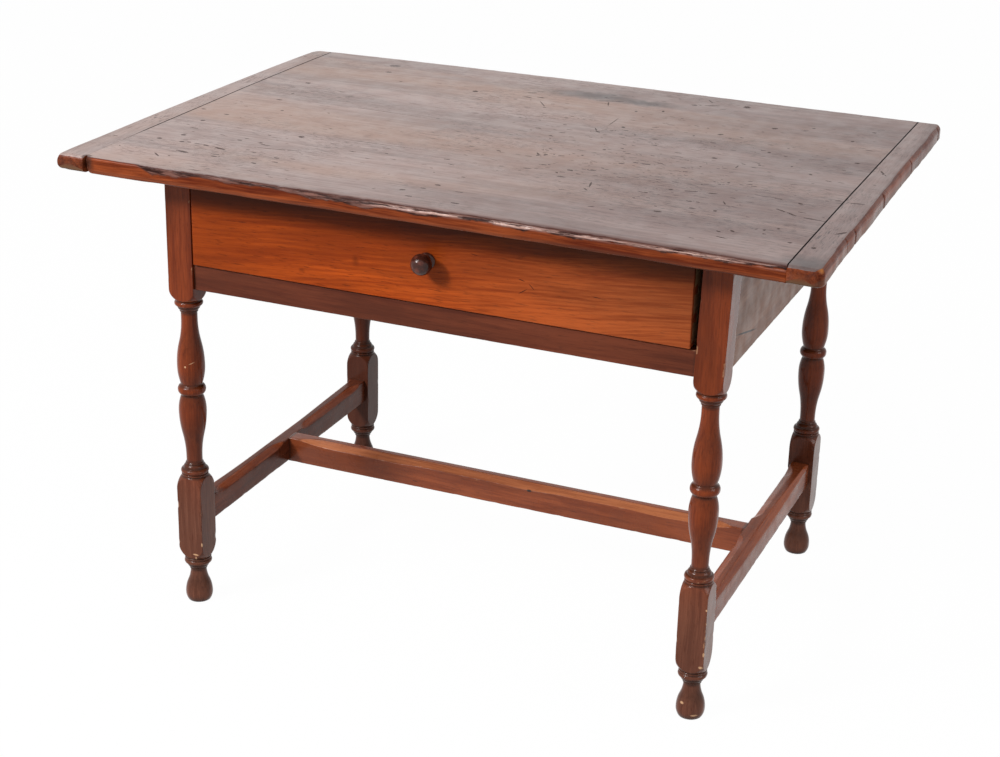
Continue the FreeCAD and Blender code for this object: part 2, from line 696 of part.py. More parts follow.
def drawer_side(name, side):
    """Side with half-blind tails at the front, through tails at the back and a groove for the bottom."""
    body = piece(name)
    faces = side_faces(side)
    shoulder_y = f"{DRAWER_REAR_Y} - back_thickness"
    block(body, name + "_board", faces, (FRONT_BACK_Y, shoulder_y), SIDE_FOOT, "side_height")
    block(body, name + "_toe", faces, (shoulder_y, DRAWER_REAR_Y), SIDE_FOOT, "bottom_lift + bottom_thickness")
    pad(body, tail_sketch(body, name + "_front_tails", side, FRONT_TAILS), "side_thickness")
    pad(body, tail_sketch(body, name + "_back_tails", side, BACK_TAILS), "side_thickness")
    inner = faces[1] if side < 0 else faces[0]
    depth = ordered(inner, f"{inner} - bottom_groove" if side < 0 else f"{inner} + bottom_groove")
    mortise(body, name + "_groove", depth, (f"{FRONT_BACK_Y} - bottom_groove", DRAWER_REAR_Y),
            BOTTOM_FOOT, "bottom_thickness")


def nail_holes(body, name, foot, height):
    """Square holes of the nails' own size."""
    rear = f"{DRAWER_REAR_Y} - back_thickness / 2"
    for index in (-1, 0, 1):
        across = tuple(f"{index} * nail_spacing + {half} * nail_width" for half in (-0.5, 0.5))
        along = tuple(f"{rear} + {half} * nail_width" for half in (-0.5, 0.5))
        mortise(body, f"{name}_nail_hole_{index + 1}", across, along, foot, height)


def drawer_back():
    body = piece("drawer_back")
    block(body, "back_board_drawer", (DRAWER_WEST, DRAWER_EAST),
          (f"{DRAWER_REAR_Y} - back_thickness", DRAWER_REAR_Y), BOTTOM_HEAD, f"{SIDE_HEAD} - {BOTTOM_HEAD}")
    for side, word in ((-1, "left"), (1, "right")):
        pocket(body, tail_sketch(body, f"back_sockets_{word}", side, BACK_TAILS), "side_thickness")
    nail_holes(body, "back", BOTTOM_HEAD, "nail_length - bottom_thickness")


def drawer_bottom():
    body = piece("drawer_bottom")
    block(body, "bottom_board",
          (f"{side_faces(-1)[1]} - bottom_groove + bottom_slack", f"{side_faces(1)[0]} + bottom_groove - bottom_slack"),
          (f"{FRONT_BACK_Y} - bottom_groove + bottom_slack", DRAWER_REAR_Y), BOTTOM_FOOT, "bottom_thickness")
    nail_holes(body, "bottom", BOTTOM_FOOT, "bottom_thickness")


def drawer_nails():
    """Three cut nails driven up through the drawer bottom into the back: square shank, square head."""
    rear = f"{DRAWER_REAR_Y} - back_thickness / 2"
    nails = []
    for index in (-1, 0, 1):
        solids = []
        for word, width, foot, height in (("shank", "nail_width", BOTTOM_FOOT, "nail_length"),
                                          ("head", "nail_head", f"{BOTTOM_FOOT} - nail_head_height",
                                           "nail_head_height")):
            box = document.addObject("Part::Box", f"nail_{index + 1}_{word}")
            box.setExpression("Length", bound(width))
            box.setExpression("Width", bound(width))
            box.setExpression("Height", bound(height))
            box.setExpression("Placement.Base.x", bound(f"{index} * nail_spacing - {width} / 2"))
            box.setExpression("Placement.Base.y", bound(f"{rear} - {width} / 2"))
            box.setExpression("Placement.Base.z", bound(foot))
            solids.append(box)
        nail = document.addObject("Part::Fuse", f"nail_{index + 1}")
        nail.Base, nail.Tool = solids
        nails.append(nail)
    group = document.addObject("Part::Compound", "drawer_nails")
    group.Label = "drawer_nails"
    group.Links = nails
    pieces.append(group)


def drawer_knob():
    """Turned knob: collar, neck and flattened ball, with a shank glued through the drawer front."""
    body = piece("drawer_knob", "-knob_side", FRONT_FACE_Y, "knob_height")
    crown = ("knob_neck", "-knob_length")
    cheek = ("knob_radius", "-knob_length + 12")
    waist = ("knob_neck", "-6")
    section = outline(sketch_on(body, "knob_section", "XY_Plane"), [
        ("0", "front_thickness"), ("knob_shank", "front_thickness"), ("knob_shank", "0"), ("knob_collar", "0"),
        FreeCAD.Vector(number("knob_collar") + 0.6, -1.3, 0), ("knob_collar - 0.8", "-2.6"),
        FreeCAD.Vector(number("knob_neck") + 0.9, -4.2, 0), waist,
        FreeCAD.Vector(number("knob_neck") + 4.6, number(cheek[1]) + 6.2, 0), cheek,
        FreeCAD.Vector(number("knob_radius") - 2.0, number(crown[1]) + 4.6, 0), crown,
        FreeCAD.Vector(3.6, number(crown[1]) - 0.8, 0), ("0", "-knob_length - 1")])
    document.recompute()
    feature = body.newObject("PartDesign::Revolution", "knob_turning")
    feature.Profile = section
    feature.ReferenceAxis = (section, ["V_Axis"])
    feature.Angle = 360
    finish(feature, 0, True)


# --------------------------------------------------------------------------------------------- assembly

for leg_name, leg_side, leg_end in (("front_left_leg", -1, -1), ("front_right_leg", 1, -1),
                                    ("back_left_leg", -1, 1), ("back_right_leg", 1, 1)):
    leg(leg_name, leg_side, leg_end)
drawer_rail()
back_apron()
medial_stretcher()
for side_name, side_sign in (("left", -1), ("right", 1)):
    end_apron(f"{side_name}_apron", side_sign)
    end_stretcher(f"{side_name}_stretcher", side_sign)
    runner(f"{side_name}_runner", side_sign)
    guide(f"{side_name}_guide", side_sign)
    drawer_stop(f"{side_name}_drawer_stop", side_sign)
    breadboard_end(f"{side_name}_breadboard_end", side_sign)
    drawer_side(f"drawer_{side_name}_side", side_sign)
    for end_name, block_y in (("front", "-base_setback - leg_stance / 4"), ("back", "-base_setback + leg_stance / 4")):
        glue_block(f"{side_name}_{end_name}_block", signed(side_sign, APRON_INNER_X), block_y,
                   0 if side_sign < 0 else 180)
    glue_block(f"back_{side_name}_block", signed(side_sign, "leg_spread / 4"), APRON_INNER_Y, -90)
top_board()
drawer_front()
drawer_back()
drawer_bottom()
drawer_nails()
drawer_knob()
document.recompute()

for item in document.Objects:
    if "Invalid" in item.State or "Error" in item.State:
        raise RuntimeError(f"{item.Label} failed: {item.State}")
for item in pieces:
    if item.Shape.isNull() or not item.Shape.isValid() or not item.Shape.Solids:
        raise RuntimeError(f"{item.Label} has no valid shape")

os.makedirs("parts", exist_ok=True)
for item in pieces:
    item.Shape.exportStep(f"parts/{item.Label}.step")
    print(item.Label, len(item.Shape.Solids), round(item.Shape.Volume))
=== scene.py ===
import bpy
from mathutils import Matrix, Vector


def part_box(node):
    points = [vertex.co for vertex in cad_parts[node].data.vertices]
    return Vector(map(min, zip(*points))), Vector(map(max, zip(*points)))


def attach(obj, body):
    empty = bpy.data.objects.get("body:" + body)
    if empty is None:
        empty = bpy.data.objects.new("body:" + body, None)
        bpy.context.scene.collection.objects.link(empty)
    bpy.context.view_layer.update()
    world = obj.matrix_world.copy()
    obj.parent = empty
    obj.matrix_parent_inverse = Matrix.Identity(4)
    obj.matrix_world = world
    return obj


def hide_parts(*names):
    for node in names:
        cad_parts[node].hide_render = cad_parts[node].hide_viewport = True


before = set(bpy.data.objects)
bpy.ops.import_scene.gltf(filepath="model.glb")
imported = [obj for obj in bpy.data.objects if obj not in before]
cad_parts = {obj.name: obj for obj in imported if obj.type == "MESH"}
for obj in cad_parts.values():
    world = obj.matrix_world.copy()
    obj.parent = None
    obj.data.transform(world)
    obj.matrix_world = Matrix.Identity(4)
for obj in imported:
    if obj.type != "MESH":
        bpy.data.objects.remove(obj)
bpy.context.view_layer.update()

import math

import bpy
import numpy as np
from bpy.props import FloatProperty, FloatVectorProperty, PointerProperty
from mathutils import Matrix, Vector

bl_info = {
    "name": "Tavern table",
    "version": (1, 0, 0),
    "blender": (4, 5, 0),
    "location": "View3D > Sidebar > Table",
    "description": "Dresses a joined tavern table: worn top, turned legs, stretchers and drawer",
    "category": "Object",
}

MM = 0.001
TAU = 2 * math.pi

# ------------------------------------------------------------------------------------------ settings


class TableSizes(bpy.types.PropertyGroup):
    """Sizes of the worn edges and of the turning."""

    front_round: FloatProperty(
        name="Front edge round", description="Radius of the top's worn upper edge over the drawer",
        default=10 * MM, unit="LENGTH")
    crisp_round: FloatProperty(
        name="Front edge round, left", description="Radius of the same edge at its less worn left end",
        default=4 * MM, unit="LENGTH")
    side_round: FloatProperty(
        name="Side edge round", description="Radius of the top's upper edge on the other sides",
        default=8 * MM, unit="LENGTH")
    under_round: FloatProperty(
        name="Lower edge round", description="Radius of the top's lower edges",
        default=3.5 * MM, unit="LENGTH")
    seam_round: FloatProperty(
        name="Seam round", description="Radius of the edges beside the two seams of the top",
        default=0.5 * MM, unit="LENGTH")
    twist: FloatProperty(
        name="Twist", description="How far the front right and back left corners of the top have dropped",
        default=4 * MM, unit="LENGTH")
    arris: FloatProperty(
        name="Arris", description="Radius of the worn arrises of legs, rails and stretchers",
        default=1.3 * MM, unit="LENGTH")
    bead: FloatProperty(
        name="Bead radius", description="Largest radius of the turned beads",
        default=20 * MM, unit="LENGTH")
    swell: FloatProperty(
        name="Swell radius", description="Largest radius of the turned swells",
        default=19.8 * MM, unit="LENGTH")
    neck: FloatProperty(
        name="Neck radius", description="Smallest radius of the turned necks",
        default=11.5 * MM, unit="LENGTH")


class TableColours(bpy.types.PropertyGroup):
    """Main colours of the finishes."""

    top: FloatVectorProperty(
        name="Top", description="Dulled upper face of the top", subtype="COLOR", size=3,
        default=(0.345, 0.25, 0.228), min=0, max=1)
    top_dark: FloatVectorProperty(
        name="Top, dark grain", description="Dark grain and nicks of the upper face", subtype="COLOR", size=3,
        default=(0.035, 0.015, 0.012), min=0, max=1)
    edge: FloatVectorProperty(
        name="Top, edges", description="Varnished edges of the top", subtype="COLOR", size=3,
        default=(0.205, 0.04, 0.0105), min=0, max=1)
    leg: FloatVectorProperty(
        name="Legs", description="Red-brown varnish of the legs", subtype="COLOR", size=3,
        default=(0.195, 0.034, 0.008), min=0, max=1)
    rail: FloatVectorProperty(
        name="Drawer rail", description="Darker red-brown of the drawer rail", subtype="COLOR", size=3,
        default=(0.13, 0.029, 0.012), min=0, max=1)
    apron: FloatVectorProperty(
        name="Aprons", description="Grey-brown of the aprons", subtype="COLOR", size=3,
        default=(0.195, 0.094, 0.06), min=0, max=1)
    stretcher: FloatVectorProperty(
        name="Stretchers", description="Red-brown of the stretchers", subtype="COLOR", size=3,
        default=(0.2, 0.045, 0.015), min=0, max=1)
    drawer: FloatVectorProperty(
        name="Drawer front", description="Bright orange-brown of the drawer front", subtype="COLOR", size=3,
        default=(0.425, 0.065, 0.0065), min=0, max=1)
    bare: FloatVectorProperty(
        name="Bare wood", description="Unfinished inner woodwork", subtype="COLOR", size=3,
        default=(0.36, 0.23, 0.12), min=0, max=1)
    knob: FloatVectorProperty(
        name="Knob", description="Nearly black knob", subtype="COLOR", size=3,
        default=(0.05, 0.013, 0.008), min=0, max=1)


class TableStage(bpy.types.PropertyGroup):
    """Camera and lights."""

    lens: FloatProperty(name="Lens", description="Focal length in millimetres on a 36 mm sensor", default=72.2)
    camera: FloatVectorProperty(
        name="Camera", description="Place of the camera", subtype="TRANSLATION", size=3,
        default=(1.0263, -2.5312, 1.4262))
    yaw: FloatProperty(name="Yaw", description="Turn of the view to the left", default=math.radians(22.74),
                       unit="ROTATION")
    pitch: FloatProperty(name="Pitch", description="Downward tilt of the view", default=math.radians(22.24),
                         unit="ROTATION")
    roll: FloatProperty(name="Roll", description="Roll of the camera", default=math.radians(1.35),
                        unit="ROTATION")
    key: FloatProperty(name="Key light", description="Power of the lamp at the front left", default=124)
    soft: FloatProperty(name="Soft light", description="Power of the wide lamp above the front left", default=46)
    fill: FloatProperty(name="Fill light", description="Power of the lamp at the right", default=40)
    sky: FloatProperty(name="Sky", description="Strength of the even studio light", default=0.28)


# ------------------------------------------------------------------------------------------- meshes

def ripple(points, spacing, seed, waves=14):
    """Smooth noise of about -1 to 1 at each point.

    The sum of sine waves in seeded directions, each with a length near the spacing, over the root of their number.
    """
    draw = np.random.default_rng(seed)
    directions = draw.normal(size=(waves, 3))
    directions /= np.linalg.norm(directions, axis=1)[:, None]
    lengths = spacing * draw.uniform(0.6, 1.7, waves)
    phases = draw.uniform(0, TAU, waves)
    return np.sin(points @ (directions * TAU / lengths[:, None]).T + phases).sum(-1) / math.sqrt(waves)


def jagged(places, spacing, seed):
    """Broken-line noise from 0 to 1 along one direction: seeded heights at even places, with straight lines."""
    draw = np.random.default_rng(seed)
    knots = np.arange(-0.7, 0.7, spacing)
    knots = knots + draw.uniform(-0.4, 0.4, len(knots)) * spacing
    return np.interp(places, knots, draw.uniform(0, 1, len(knots)))


def smooth_step(value, low, high):
    """Rises from 0 at low to 1 at high with level ends: 3 t squared minus 2 t cubed."""
    part = np.clip((value - low) / (high - low), 0, 1)
    return part * part * (3 - 2 * part)


def bell(offset, width):
    """1 where the offset is 0, less on both sides of it: e to the minus square of the offset over the width."""
    return np.exp(-(offset / width) ** 2)


def skin(name, rings, attributes, material, slot, body, *nodes):
    """Mesh object over a stack of closed rings, an array of rows by columns by 3.

    Neighbouring rings are joined by quads, and each end is closed by a fan to the middle of its ring.
    The faces are turned round if the signed volume, a sixth of the sum of corner triple products, is negative.
    """
    rows, columns, _ = rings.shape
    vertices = np.concatenate([rings.reshape(-1, 3), rings[0].mean(0)[None], rings[-1].mean(0)[None]])
    index = np.arange(rows * columns).reshape(rows, columns)
    beside = np.roll(index, -1, axis=1)
    quads = np.stack([index[:-1], beside[:-1], beside[1:], index[1:]], axis=-1).reshape(-1, 4)
    foot = np.full(columns, rows * columns)
    first_fan = np.stack([beside[0], index[0], foot], axis=-1)
    last_fan = np.stack([index[-1], beside[-1], foot + 1], axis=-1)
    fans = np.concatenate([first_fan, last_fan])
    a, b, c, d = (vertices[quads[:, corner]] for corner in range(4))
    volume = (np.cross(b, c) * a).sum() + (np.cross(c, d) * a).sum()
    if volume < 0:
        quads = quads[:, ::-1]
        fans = fans[:, ::-1]
    mesh = bpy.data.meshes.new(name)
    mesh.from_pydata(vertices.tolist(), [], quads.tolist() + fans.tolist())
    for word, values in attributes.items():
        layer = mesh.attributes.new(word, "FLOAT", "POINT")
        ends = np.array([values[0].mean(), values[-1].mean()])
        layer.data.foreach_set("value", np.concatenate([values.reshape(-1), ends]).astype(np.float32))
    mesh.shade_smooth()
    piece = bpy.data.objects.new(name, mesh)
    bpy.context.scene.collection.objects.link(piece)
    piece.data.materials.append(material)
    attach(piece, body)
    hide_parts(*nodes)
    return piece


# Units of a mark's X, Y, half length, half width, turn and strength. Widths come out a little smaller than they
# are written, because the shaky outline that the finish gives a mark spreads it.
MARK_UNITS = (MM, MM, MM, 0.95 * MM, math.radians(1), 1)
# How little the distance from a mark's centre counts beside the distance from its box.
TIE_BREAK = 0.001


def lay_marks(piece, marks):
    """Give every face corner its place within one mark, as an attribute of three numbers.

    A face takes the mark that lies nearest to it, with the offset beyond the face's half size divided by the
    mark's half sizes, and of several that reach it the one with the nearest centre. At a corner the first two
    numbers are the offsets from the mark's centre, turned back by the mark's angle and divided by its half sizes,
    so they run on evenly across the face. The third is its strength.
    """
    mesh = piece.data
    points = np.empty(3 * len(mesh.vertices))
    mesh.vertices.foreach_get("co", points)
    points = points.reshape(-1, 3)
    counts = np.empty(len(mesh.polygons), dtype=int)
    mesh.polygons.foreach_get("loop_total", counts)
    corner_points = np.empty(len(mesh.loops), dtype=int)
    mesh.loops.foreach_get("vertex_index", corner_points)
    places = points[corner_points, :2]
    starts = np.concatenate([[0], np.cumsum(counts)[:-1]])
    low = np.minimum.reduceat(places, starts)
    high = np.maximum.reduceat(places, starts)
    middle, half = (low + high) / 2, (high - low) / 2
    table = np.array(marks) * np.array(MARK_UNITS)
    nearest = np.zeros(len(counts), dtype=int)
    best = np.full(len(counts), np.inf)
    for number, (x, y, long, wide, turn, _) in enumerate(table):
        cosine, sine = abs(math.cos(turn)), abs(math.sin(turn))
        reach = np.array((long * cosine + wide * sine, long * sine + wide * cosine))
        offset = np.abs(middle - (x, y))
        distance = (np.maximum(offset - half, 0) / reach) ** 2 + TIE_BREAK * (offset / reach) ** 2
        distance = distance.sum(axis=-1)
        nearest = np.where(distance < best, number, nearest)
        best = np.minimum(best, distance)
    mine = table[np.repeat(nearest, counts)]
    offset = places - mine[:, :2]
    cosine, sine = np.cos(mine[:, 4]), np.sin(mine[:, 4])
    along = (offset[:, 0] * cosine + offset[:, 1] * sine) / mine[:, 2]
    aside = (offset[:, 1] * cosine - offset[:, 0] * sine) / mine[:, 3]
    layer = mesh.attributes.new("mark", "FLOAT_VECTOR", "CORNER")
    layer.data.foreach_set("vector", np.stack([along, aside, mine[:, 5]], axis=-1).astype(np.float32).reshape(-1))


# Where small nicks crowd: middle X and Y, and spread along X and Y, in mm.
NICK_CROWDS = ((300, -130, 110, 75), (230, -60, 90, 60), (90, -40, 90, 90), (-330, -200, 110, 90),
               (120, 160, 130, 120), (380, 40, 100, 130), (0, 0, 300, 220))
NICKED_AREA = (515, 350)


def small_nicks(seed, count):
    """Small nicks strewn over the top, more of them right of its middle: marks with seeded places and sizes."""
    draw = np.random.default_rng(seed)
    crowds = np.array(NICK_CROWDS)
    chosen = crowds[draw.integers(0, len(crowds), count)]
    place = chosen[:, :2] + draw.normal(size=(count, 2)) * chosen[:, 2:]
    long = draw.gamma(2.2, 1.3, count) + 0.8
    wide = draw.uniform(0.6, 1.3, count)
    turn = draw.normal(0, 10, count)
    strength = draw.uniform(0.35, 1.0, count)
    nicks = np.stack([place[:, 0], place[:, 1], long, wide, turn, strength], axis=-1)
    return nicks[(np.abs(place) < NICKED_AREA).all(axis=-1)].tolist()


def stations(low, high, spacing, end_round, end_steps=5):
    """Places along a board: even ones, closer together over the rounded ends."""
    turn = (1 - np.cos(np.linspace(0, math.pi / 2, end_steps))) * end_round
    middle = np.linspace(low + end_round, high - end_round, max(3, int((high - low) / spacing)))
    return np.concatenate([low + turn[:-1], middle, high - turn[:-1][::-1]])


def circle_inset(distance, radius):
    """How far a quarter circle comes in at a distance from its end: the radius less the circle's height there."""
    depth = np.clip(distance, 0, radius)
    return radius - np.sqrt(np.maximum(radius ** 2 - (radius - depth) ** 2, 0))


def end_inset(places, low, high, end_round):
    """How far a ball-rounded end pulls a board's section in."""
    return circle_inset(np.minimum(places - low, high - places), end_round)


def section_columns(flats, arcs):
    """Where each column of a board's section lies: its corner, its angle, and its share of the way to the next.

    The corners are, in turn, foot-high, head-high, head-low and foot-low. A flat's columns stand closer
    together near its ends, at the shares (1 - cos(pi t)) / 2.
    """
    corner, angle, share = [], [], []
    for number, (flat, arc) in enumerate(zip(flats, arcs)):
        angles = np.linspace(-math.pi / 2, 0, arc) + number * math.pi / 2
        corner += [number] * (arc + flat)
        angle += list(angles) + [angles[-1]] * flat
        share += [0] * arc + list(0.5 - 0.5 * np.cos(np.linspace(0, math.pi, flat + 2)[1:-1]))
    return np.array(corner), np.array(angle), np.array(share)


def board_section(low, high, foot, head, radii, columns):
    """Rounded rectangles, one for each place along a board.

    low, high, foot and head are the limits across and up, and radii the four corners' radii, all arrays over the
    places. A column on a corner is the corner's centre plus the radius times the cosine and sine of its angle.
    A column on a flat lies its share of the way between two corners. Returns points and outward directions.
    """
    corner, angle, share = columns
    radii = np.stack(radii, axis=-1)
    middle_across = np.stack([high, high, low, low], axis=-1) + radii * np.array([-1, -1, 1, 1])
    middle_up = np.stack([foot, head, head, foot], axis=-1) + radii * np.array([1, -1, -1, 1])
    first_angle = -math.pi / 2 + corner * math.pi / 2
    turned = np.where(share > 0, first_angle + math.pi / 2, angle)

    def on_corner(which, angles):
        across = middle_across[:, which] + radii[:, which] * np.cos(angles)
        up = middle_up[:, which] + radii[:, which] * np.sin(angles)
        return np.stack([across, up], axis=-1)

    start = on_corner(corner, turned)
    finish = on_corner((corner + 1) % 4, first_angle + math.pi / 2)
    points = start + (finish - start) * share[None, :, None]
    outward = np.stack([np.cos(turned), np.sin(turned)], axis=-1)
    return points, np.broadcast_to(outward, points.shape)


def corner_weight(columns):
    """1 at the middle of each rounded corner of a section, falling to 0 at its ends and on the flats."""
    corner, angle, share = columns
    turn = (angle + math.pi / 2) - corner * math.pi / 2
    return np.where(share > 0, 0, np.sin(np.clip(turn, 0, math.pi / 2) * 2))


def distance_over_edge(points, columns, corner):
    """How far each point lies along its section from the middle of an upper corner, growing down the side."""
    steps = np.linalg.norm(np.diff(points, axis=1), axis=-1)
    run = np.concatenate([np.zeros((len(points), 1)), np.cumsum(steps, axis=1)], axis=1)
    arc = np.flatnonzero((columns[0] == corner) & (columns[2] == 0))
    middle = run[:, arc[len(arc) // 2]][:, None]
    return (run - middle) * (1 if corner == 2 else -1)


def distance_from_ends(places, columns):
    """Each place's distance from the nearer end, for every column."""
    return np.minimum(places - places[0], places[-1] - places)[:, None] * np.ones(columns)


def corners(node):
    """Lowest and highest corner of a node as arrays."""
    low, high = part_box(node)
    return np.array(low), np.array(high)


def to_space(points, places, along):
    """Section points (across, up) put at their places along X or Y."""
    rows, columns, _ = points.shape
    run = np.broadcast_to(places[:, None], (rows, columns))
    order = [run, points[..., 0]] if along == 0 else [points[..., 0], run]
    return np.stack(order + [points[..., 1]], axis=-1)


# ---------------------------------------------------------------------------------------- materials

class Recipe:
    """A node material in the making. Its methods add nodes and return an output socket."""

    def __init__(self, name):
        self.material = bpy.data.materials.new(name)
        self.material.use_nodes = True
        self.tree = self.material.node_tree
        self.tree.nodes.clear()

    def feed(self, socket, value):
        """Link an output to an input socket, or set the input to a plain number or colour."""
        if isinstance(value, bpy.types.NodeSocket):
            self.tree.links.new(value, socket)
        elif isinstance(value, (tuple, list)) and socket.type == "RGBA":
            socket.default_value = (*value[:3], 1)
        else:
            socket.default_value = value

    def add(self, kind, inputs=(), output=0, **settings):
        """Add a node with these settings and inputs."""
        node = self.tree.nodes.new(kind)
        for setting, value in settings.items():
            setattr(node, setting, value)
        for socket, value in dict(inputs).items():
            self.feed(node.inputs[socket], value)
        return node.outputs[output]

    def finish(self, shader):
        """Join the shader to the material's output, and return the material."""
        end = self.tree.nodes.new("ShaderNodeOutputMaterial")
        self.tree.links.new(shader, end.inputs["Surface"])
        return self.material

    def surface(self, colour, roughness, normal, specular):
        """Finish with the standard shader, and return the material."""
        return self.finish(self.add("ShaderNodeBsdfPrincipled", {
            "Base Color": colour, "Roughness": roughness, "Normal": normal, "Specular IOR Level": specular}))

    def place(self):
        """The place on the object, in metres."""
        return self.add("ShaderNodeTexCoord", output="Object")

    def attribute(self, name):
        """A number that the piece's points carry."""
        return self.add("ShaderNodeAttribute", output="Fac", attribute_name=name)

    def part_of(self, vector, letter):
        """One coordinate of a vector."""
        return self.add("ShaderNodeSeparateXYZ", {"Vector": vector}, output=letter)

    def stretch(self, vector, scale, location=(0, 0, 0), rotation=(0, 0, 0)):
        """The vector scaled, turned and shifted."""
        return self.add("ShaderNodeMapping",
                        {"Vector": vector, "Scale": scale, "Location": location, "Rotation": rotation})

    def noise(self, vector, scale, detail=3.0, roughness=0.5, output=0):
        """Smooth noise with this many cells to the metre."""
        return self.add("ShaderNodeTexNoise", {"Vector": vector, "Scale": scale, "Detail": detail,
                                               "Roughness": roughness}, output=output)

    def wander(self, vector, scale, amount, detail=2.0, at=None):
        """The vector shifted by up to about the amount, by colour noise that is read at it or at another place."""
        shift = self.noise(vector if at is None else at, scale, detail, output="Color")
        centred = self.add("ShaderNodeVectorMath", {0: shift, 1: (0.5, 0.5, 0.5)}, operation="SUBTRACT")
        scaled = self.add("ShaderNodeVectorMath", {0: centred, "Scale": amount}, operation="SCALE")
        return self.add("ShaderNodeVectorMath", {0: vector, 1: scaled}, operation="ADD")

    def math(self, operation, first, second=0.0):
        """One step of arithmetic."""
        return self.add("ShaderNodeMath", {0: first, 1: second}, operation=operation)

    def plus(self, first, second):
        """The sum of two values."""
        return self.math("ADD", first, second)

    def minus(self, first, second):
        """The first value less the second."""
        return self.math("SUBTRACT", first, second)

    def times(self, first, second):
        """The product of two values."""
        return self.math("MULTIPLY", first, second)

    def span(self, value, low, high, to_low=0.0, to_high=1.0):
        """The value's place between low and high, as a smooth step between two results."""
        return self.add("ShaderNodeMapRange", {"Value": value, "From Min": low, "From Max": high,
                                               "To Min": to_low, "To Max": to_high},
                        interpolation_type="SMOOTHSTEP")

    def mix(self, factor, first, second):
        """The first colour turning to the second by a factor."""
        return self.add("ShaderNodeMix", {0: factor, 6: first, 7: second}, output=2, data_type="RGBA")

    def wash(self, below, above, value, low, high, share):
        """The colour below, turning to the one above by at most a share as the value goes from low to high."""
        return self.mix(self.span(value, low, high, 0.0, share), below, above)

    def spots(self, vector, marks, shake, soft=0.5):
        """1 inside any of some ellipsoid marks with shaky outlines, fading to 0 at their rims.

        A mark is its centre and half sizes in mm and its turn about the axes in degrees.
        """
        shaky = self.wander(vector, 90.0, shake)
        found = 0.0
        for centre, size, turn in marks:
            local = self.add("ShaderNodeMapping", {
                "Vector": shaky, "Location": tint(centre, MM), "Scale": tint(size, MM),
                "Rotation": [math.radians(angle) for angle in turn]}, vector_type="TEXTURE")
            distance = self.add("ShaderNodeVectorMath", {0: local}, output="Value", operation="LENGTH")
            found = self.math("MAXIMUM", found, self.span(distance, 1.0 - soft, 1.0, 1.0, 0.0))
        return found

    def marks(self, vector):
        """How far inside its mark each point lies, with shaky outlines, times the mark's strength."""
        mark = self.add("ShaderNodeAttribute", output="Vector", attribute_name="mark")
        moved = self.wander(mark, 420.0, 1.6, detail=3.0, at=vector)
        flat = self.add("ShaderNodeVectorMath", {0: moved, 1: (1, 1, 0)}, operation="MULTIPLY")
        distance = self.add("ShaderNodeVectorMath", {0: flat}, output="Value", operation="LENGTH")
        return self.times(self.span(distance, 0.85, 1.15, 1.0, 0.0), self.part_of(mark, "Z"))

    def bump(self, height, distance, normal=None):
        """The normal over a height of so many metres, on top of another bump if there is one."""
        inputs = {"Height": height, "Distance": distance}
        if normal is not None:
            inputs["Normal"] = normal
        return self.add("ShaderNodeBump", inputs)


# How patterns are drawn out along the grain.
GRAIN_ALONG = {"x": (0.035, 1, 1), "y": (1, 0.035, 1), "z": (1, 1, 0.035)}
PORES_ALONG = {"x": (0.1, 1, 1), "y": (1, 0.1, 1), "z": (1, 1, 0.1)}
BROAD_ALONG = {"x": (0.16, 1, 1), "y": (1, 0.12, 1), "z": (1, 1, 0.2)}
TORN_ALONG = {"x": (0.07, 1, 1), "y": (1, 0.07, 1)}


def tint(values, factor):
    """A colour or place with every number multiplied."""
    return tuple(value * factor for value in values)


def blend(first, second, share):
    """A colour that lies a share of the way from one to another."""
    return tuple(a + (b - a) * share for a, b in zip(first, second))


def shade_pair(colour, contrast):
    """A darker, redder and a lighter, yellower version of a colour."""
    red, green, blue = colour
    dark = (red * (1 - contrast), green * (1 - 1.3 * contrast), blue * (1 - 1.3 * contrast))
    light = (red * (1 + contrast), green * (1 + 1.25 * contrast), blue * (1 + 1.25 * contrast))
    return dark, light


def wood_tone(recipe, place, axis, rings=0.0, slope=0.0, height="Z"):
    """Light and dark of sawn wood from 0 to 1, and its fibres, both drawn out along one axis.

    The tone is 0.35 of broad shades, 0.4 of streaks and 0.25 of fibres. Growth rings, added with the strength
    rings, are the sine of 900 times the height and 60 times a slow noise, so that they run as long wavy lines.
    slope turns the grain in degrees.
    """
    drifted = recipe.wander(place, 5.0, 12 * MM)
    turned = recipe.stretch(drifted, (1, 1, 1), rotation=(0, math.radians(slope), 0))
    along = recipe.stretch(turned, GRAIN_ALONG[axis])
    wide = recipe.stretch(turned, BROAD_ALONG[axis])
    broad = recipe.noise(wide, 18.0, detail=2.0)
    streaks = recipe.noise(along, 150.0, detail=4.0, roughness=0.6)
    fibres = recipe.noise(along, 700.0, detail=2.0)
    fine = recipe.plus(recipe.times(streaks, 0.4), recipe.times(fibres, 0.25))
    total = recipe.plus(recipe.times(broad, 0.35), fine)
    if rings:
        loops = recipe.times(recipe.noise(wide, 12.0, detail=2.0), 60.0)
        wave = recipe.math("SINE", recipe.plus(recipe.times(recipe.part_of(turned, height), 900.0), loops))
        total = recipe.plus(total, recipe.times(wave, 0.02 * rings))
    return recipe.span(total, 0.39, 0.61), fibres


# Colours on varnished wood: its hollows, painted shade towards the back and under an overhang, greyer lower
# legs, arrises worn and painted as lit, nicks and cracks. A pair is for the dark and the light grain.
HOLLOW_DARK = (0.035, 0.014, 0.008)
OVERHANG_SHADOW = (0.012, 0.004, 0.002)
BACK_SHADE = (0.055, 0.014, 0.008)
LOW_LEG_COLOURS = ((0.125, 0.046, 0.027), (0.205, 0.085, 0.052))
WORN_AND_LIT_ARRIS = (0.5, 0.25, 0.13)
NICKED_WOOD = (0.62, 0.36, 0.2)
CRACK = (0.012, 0.006, 0.005)


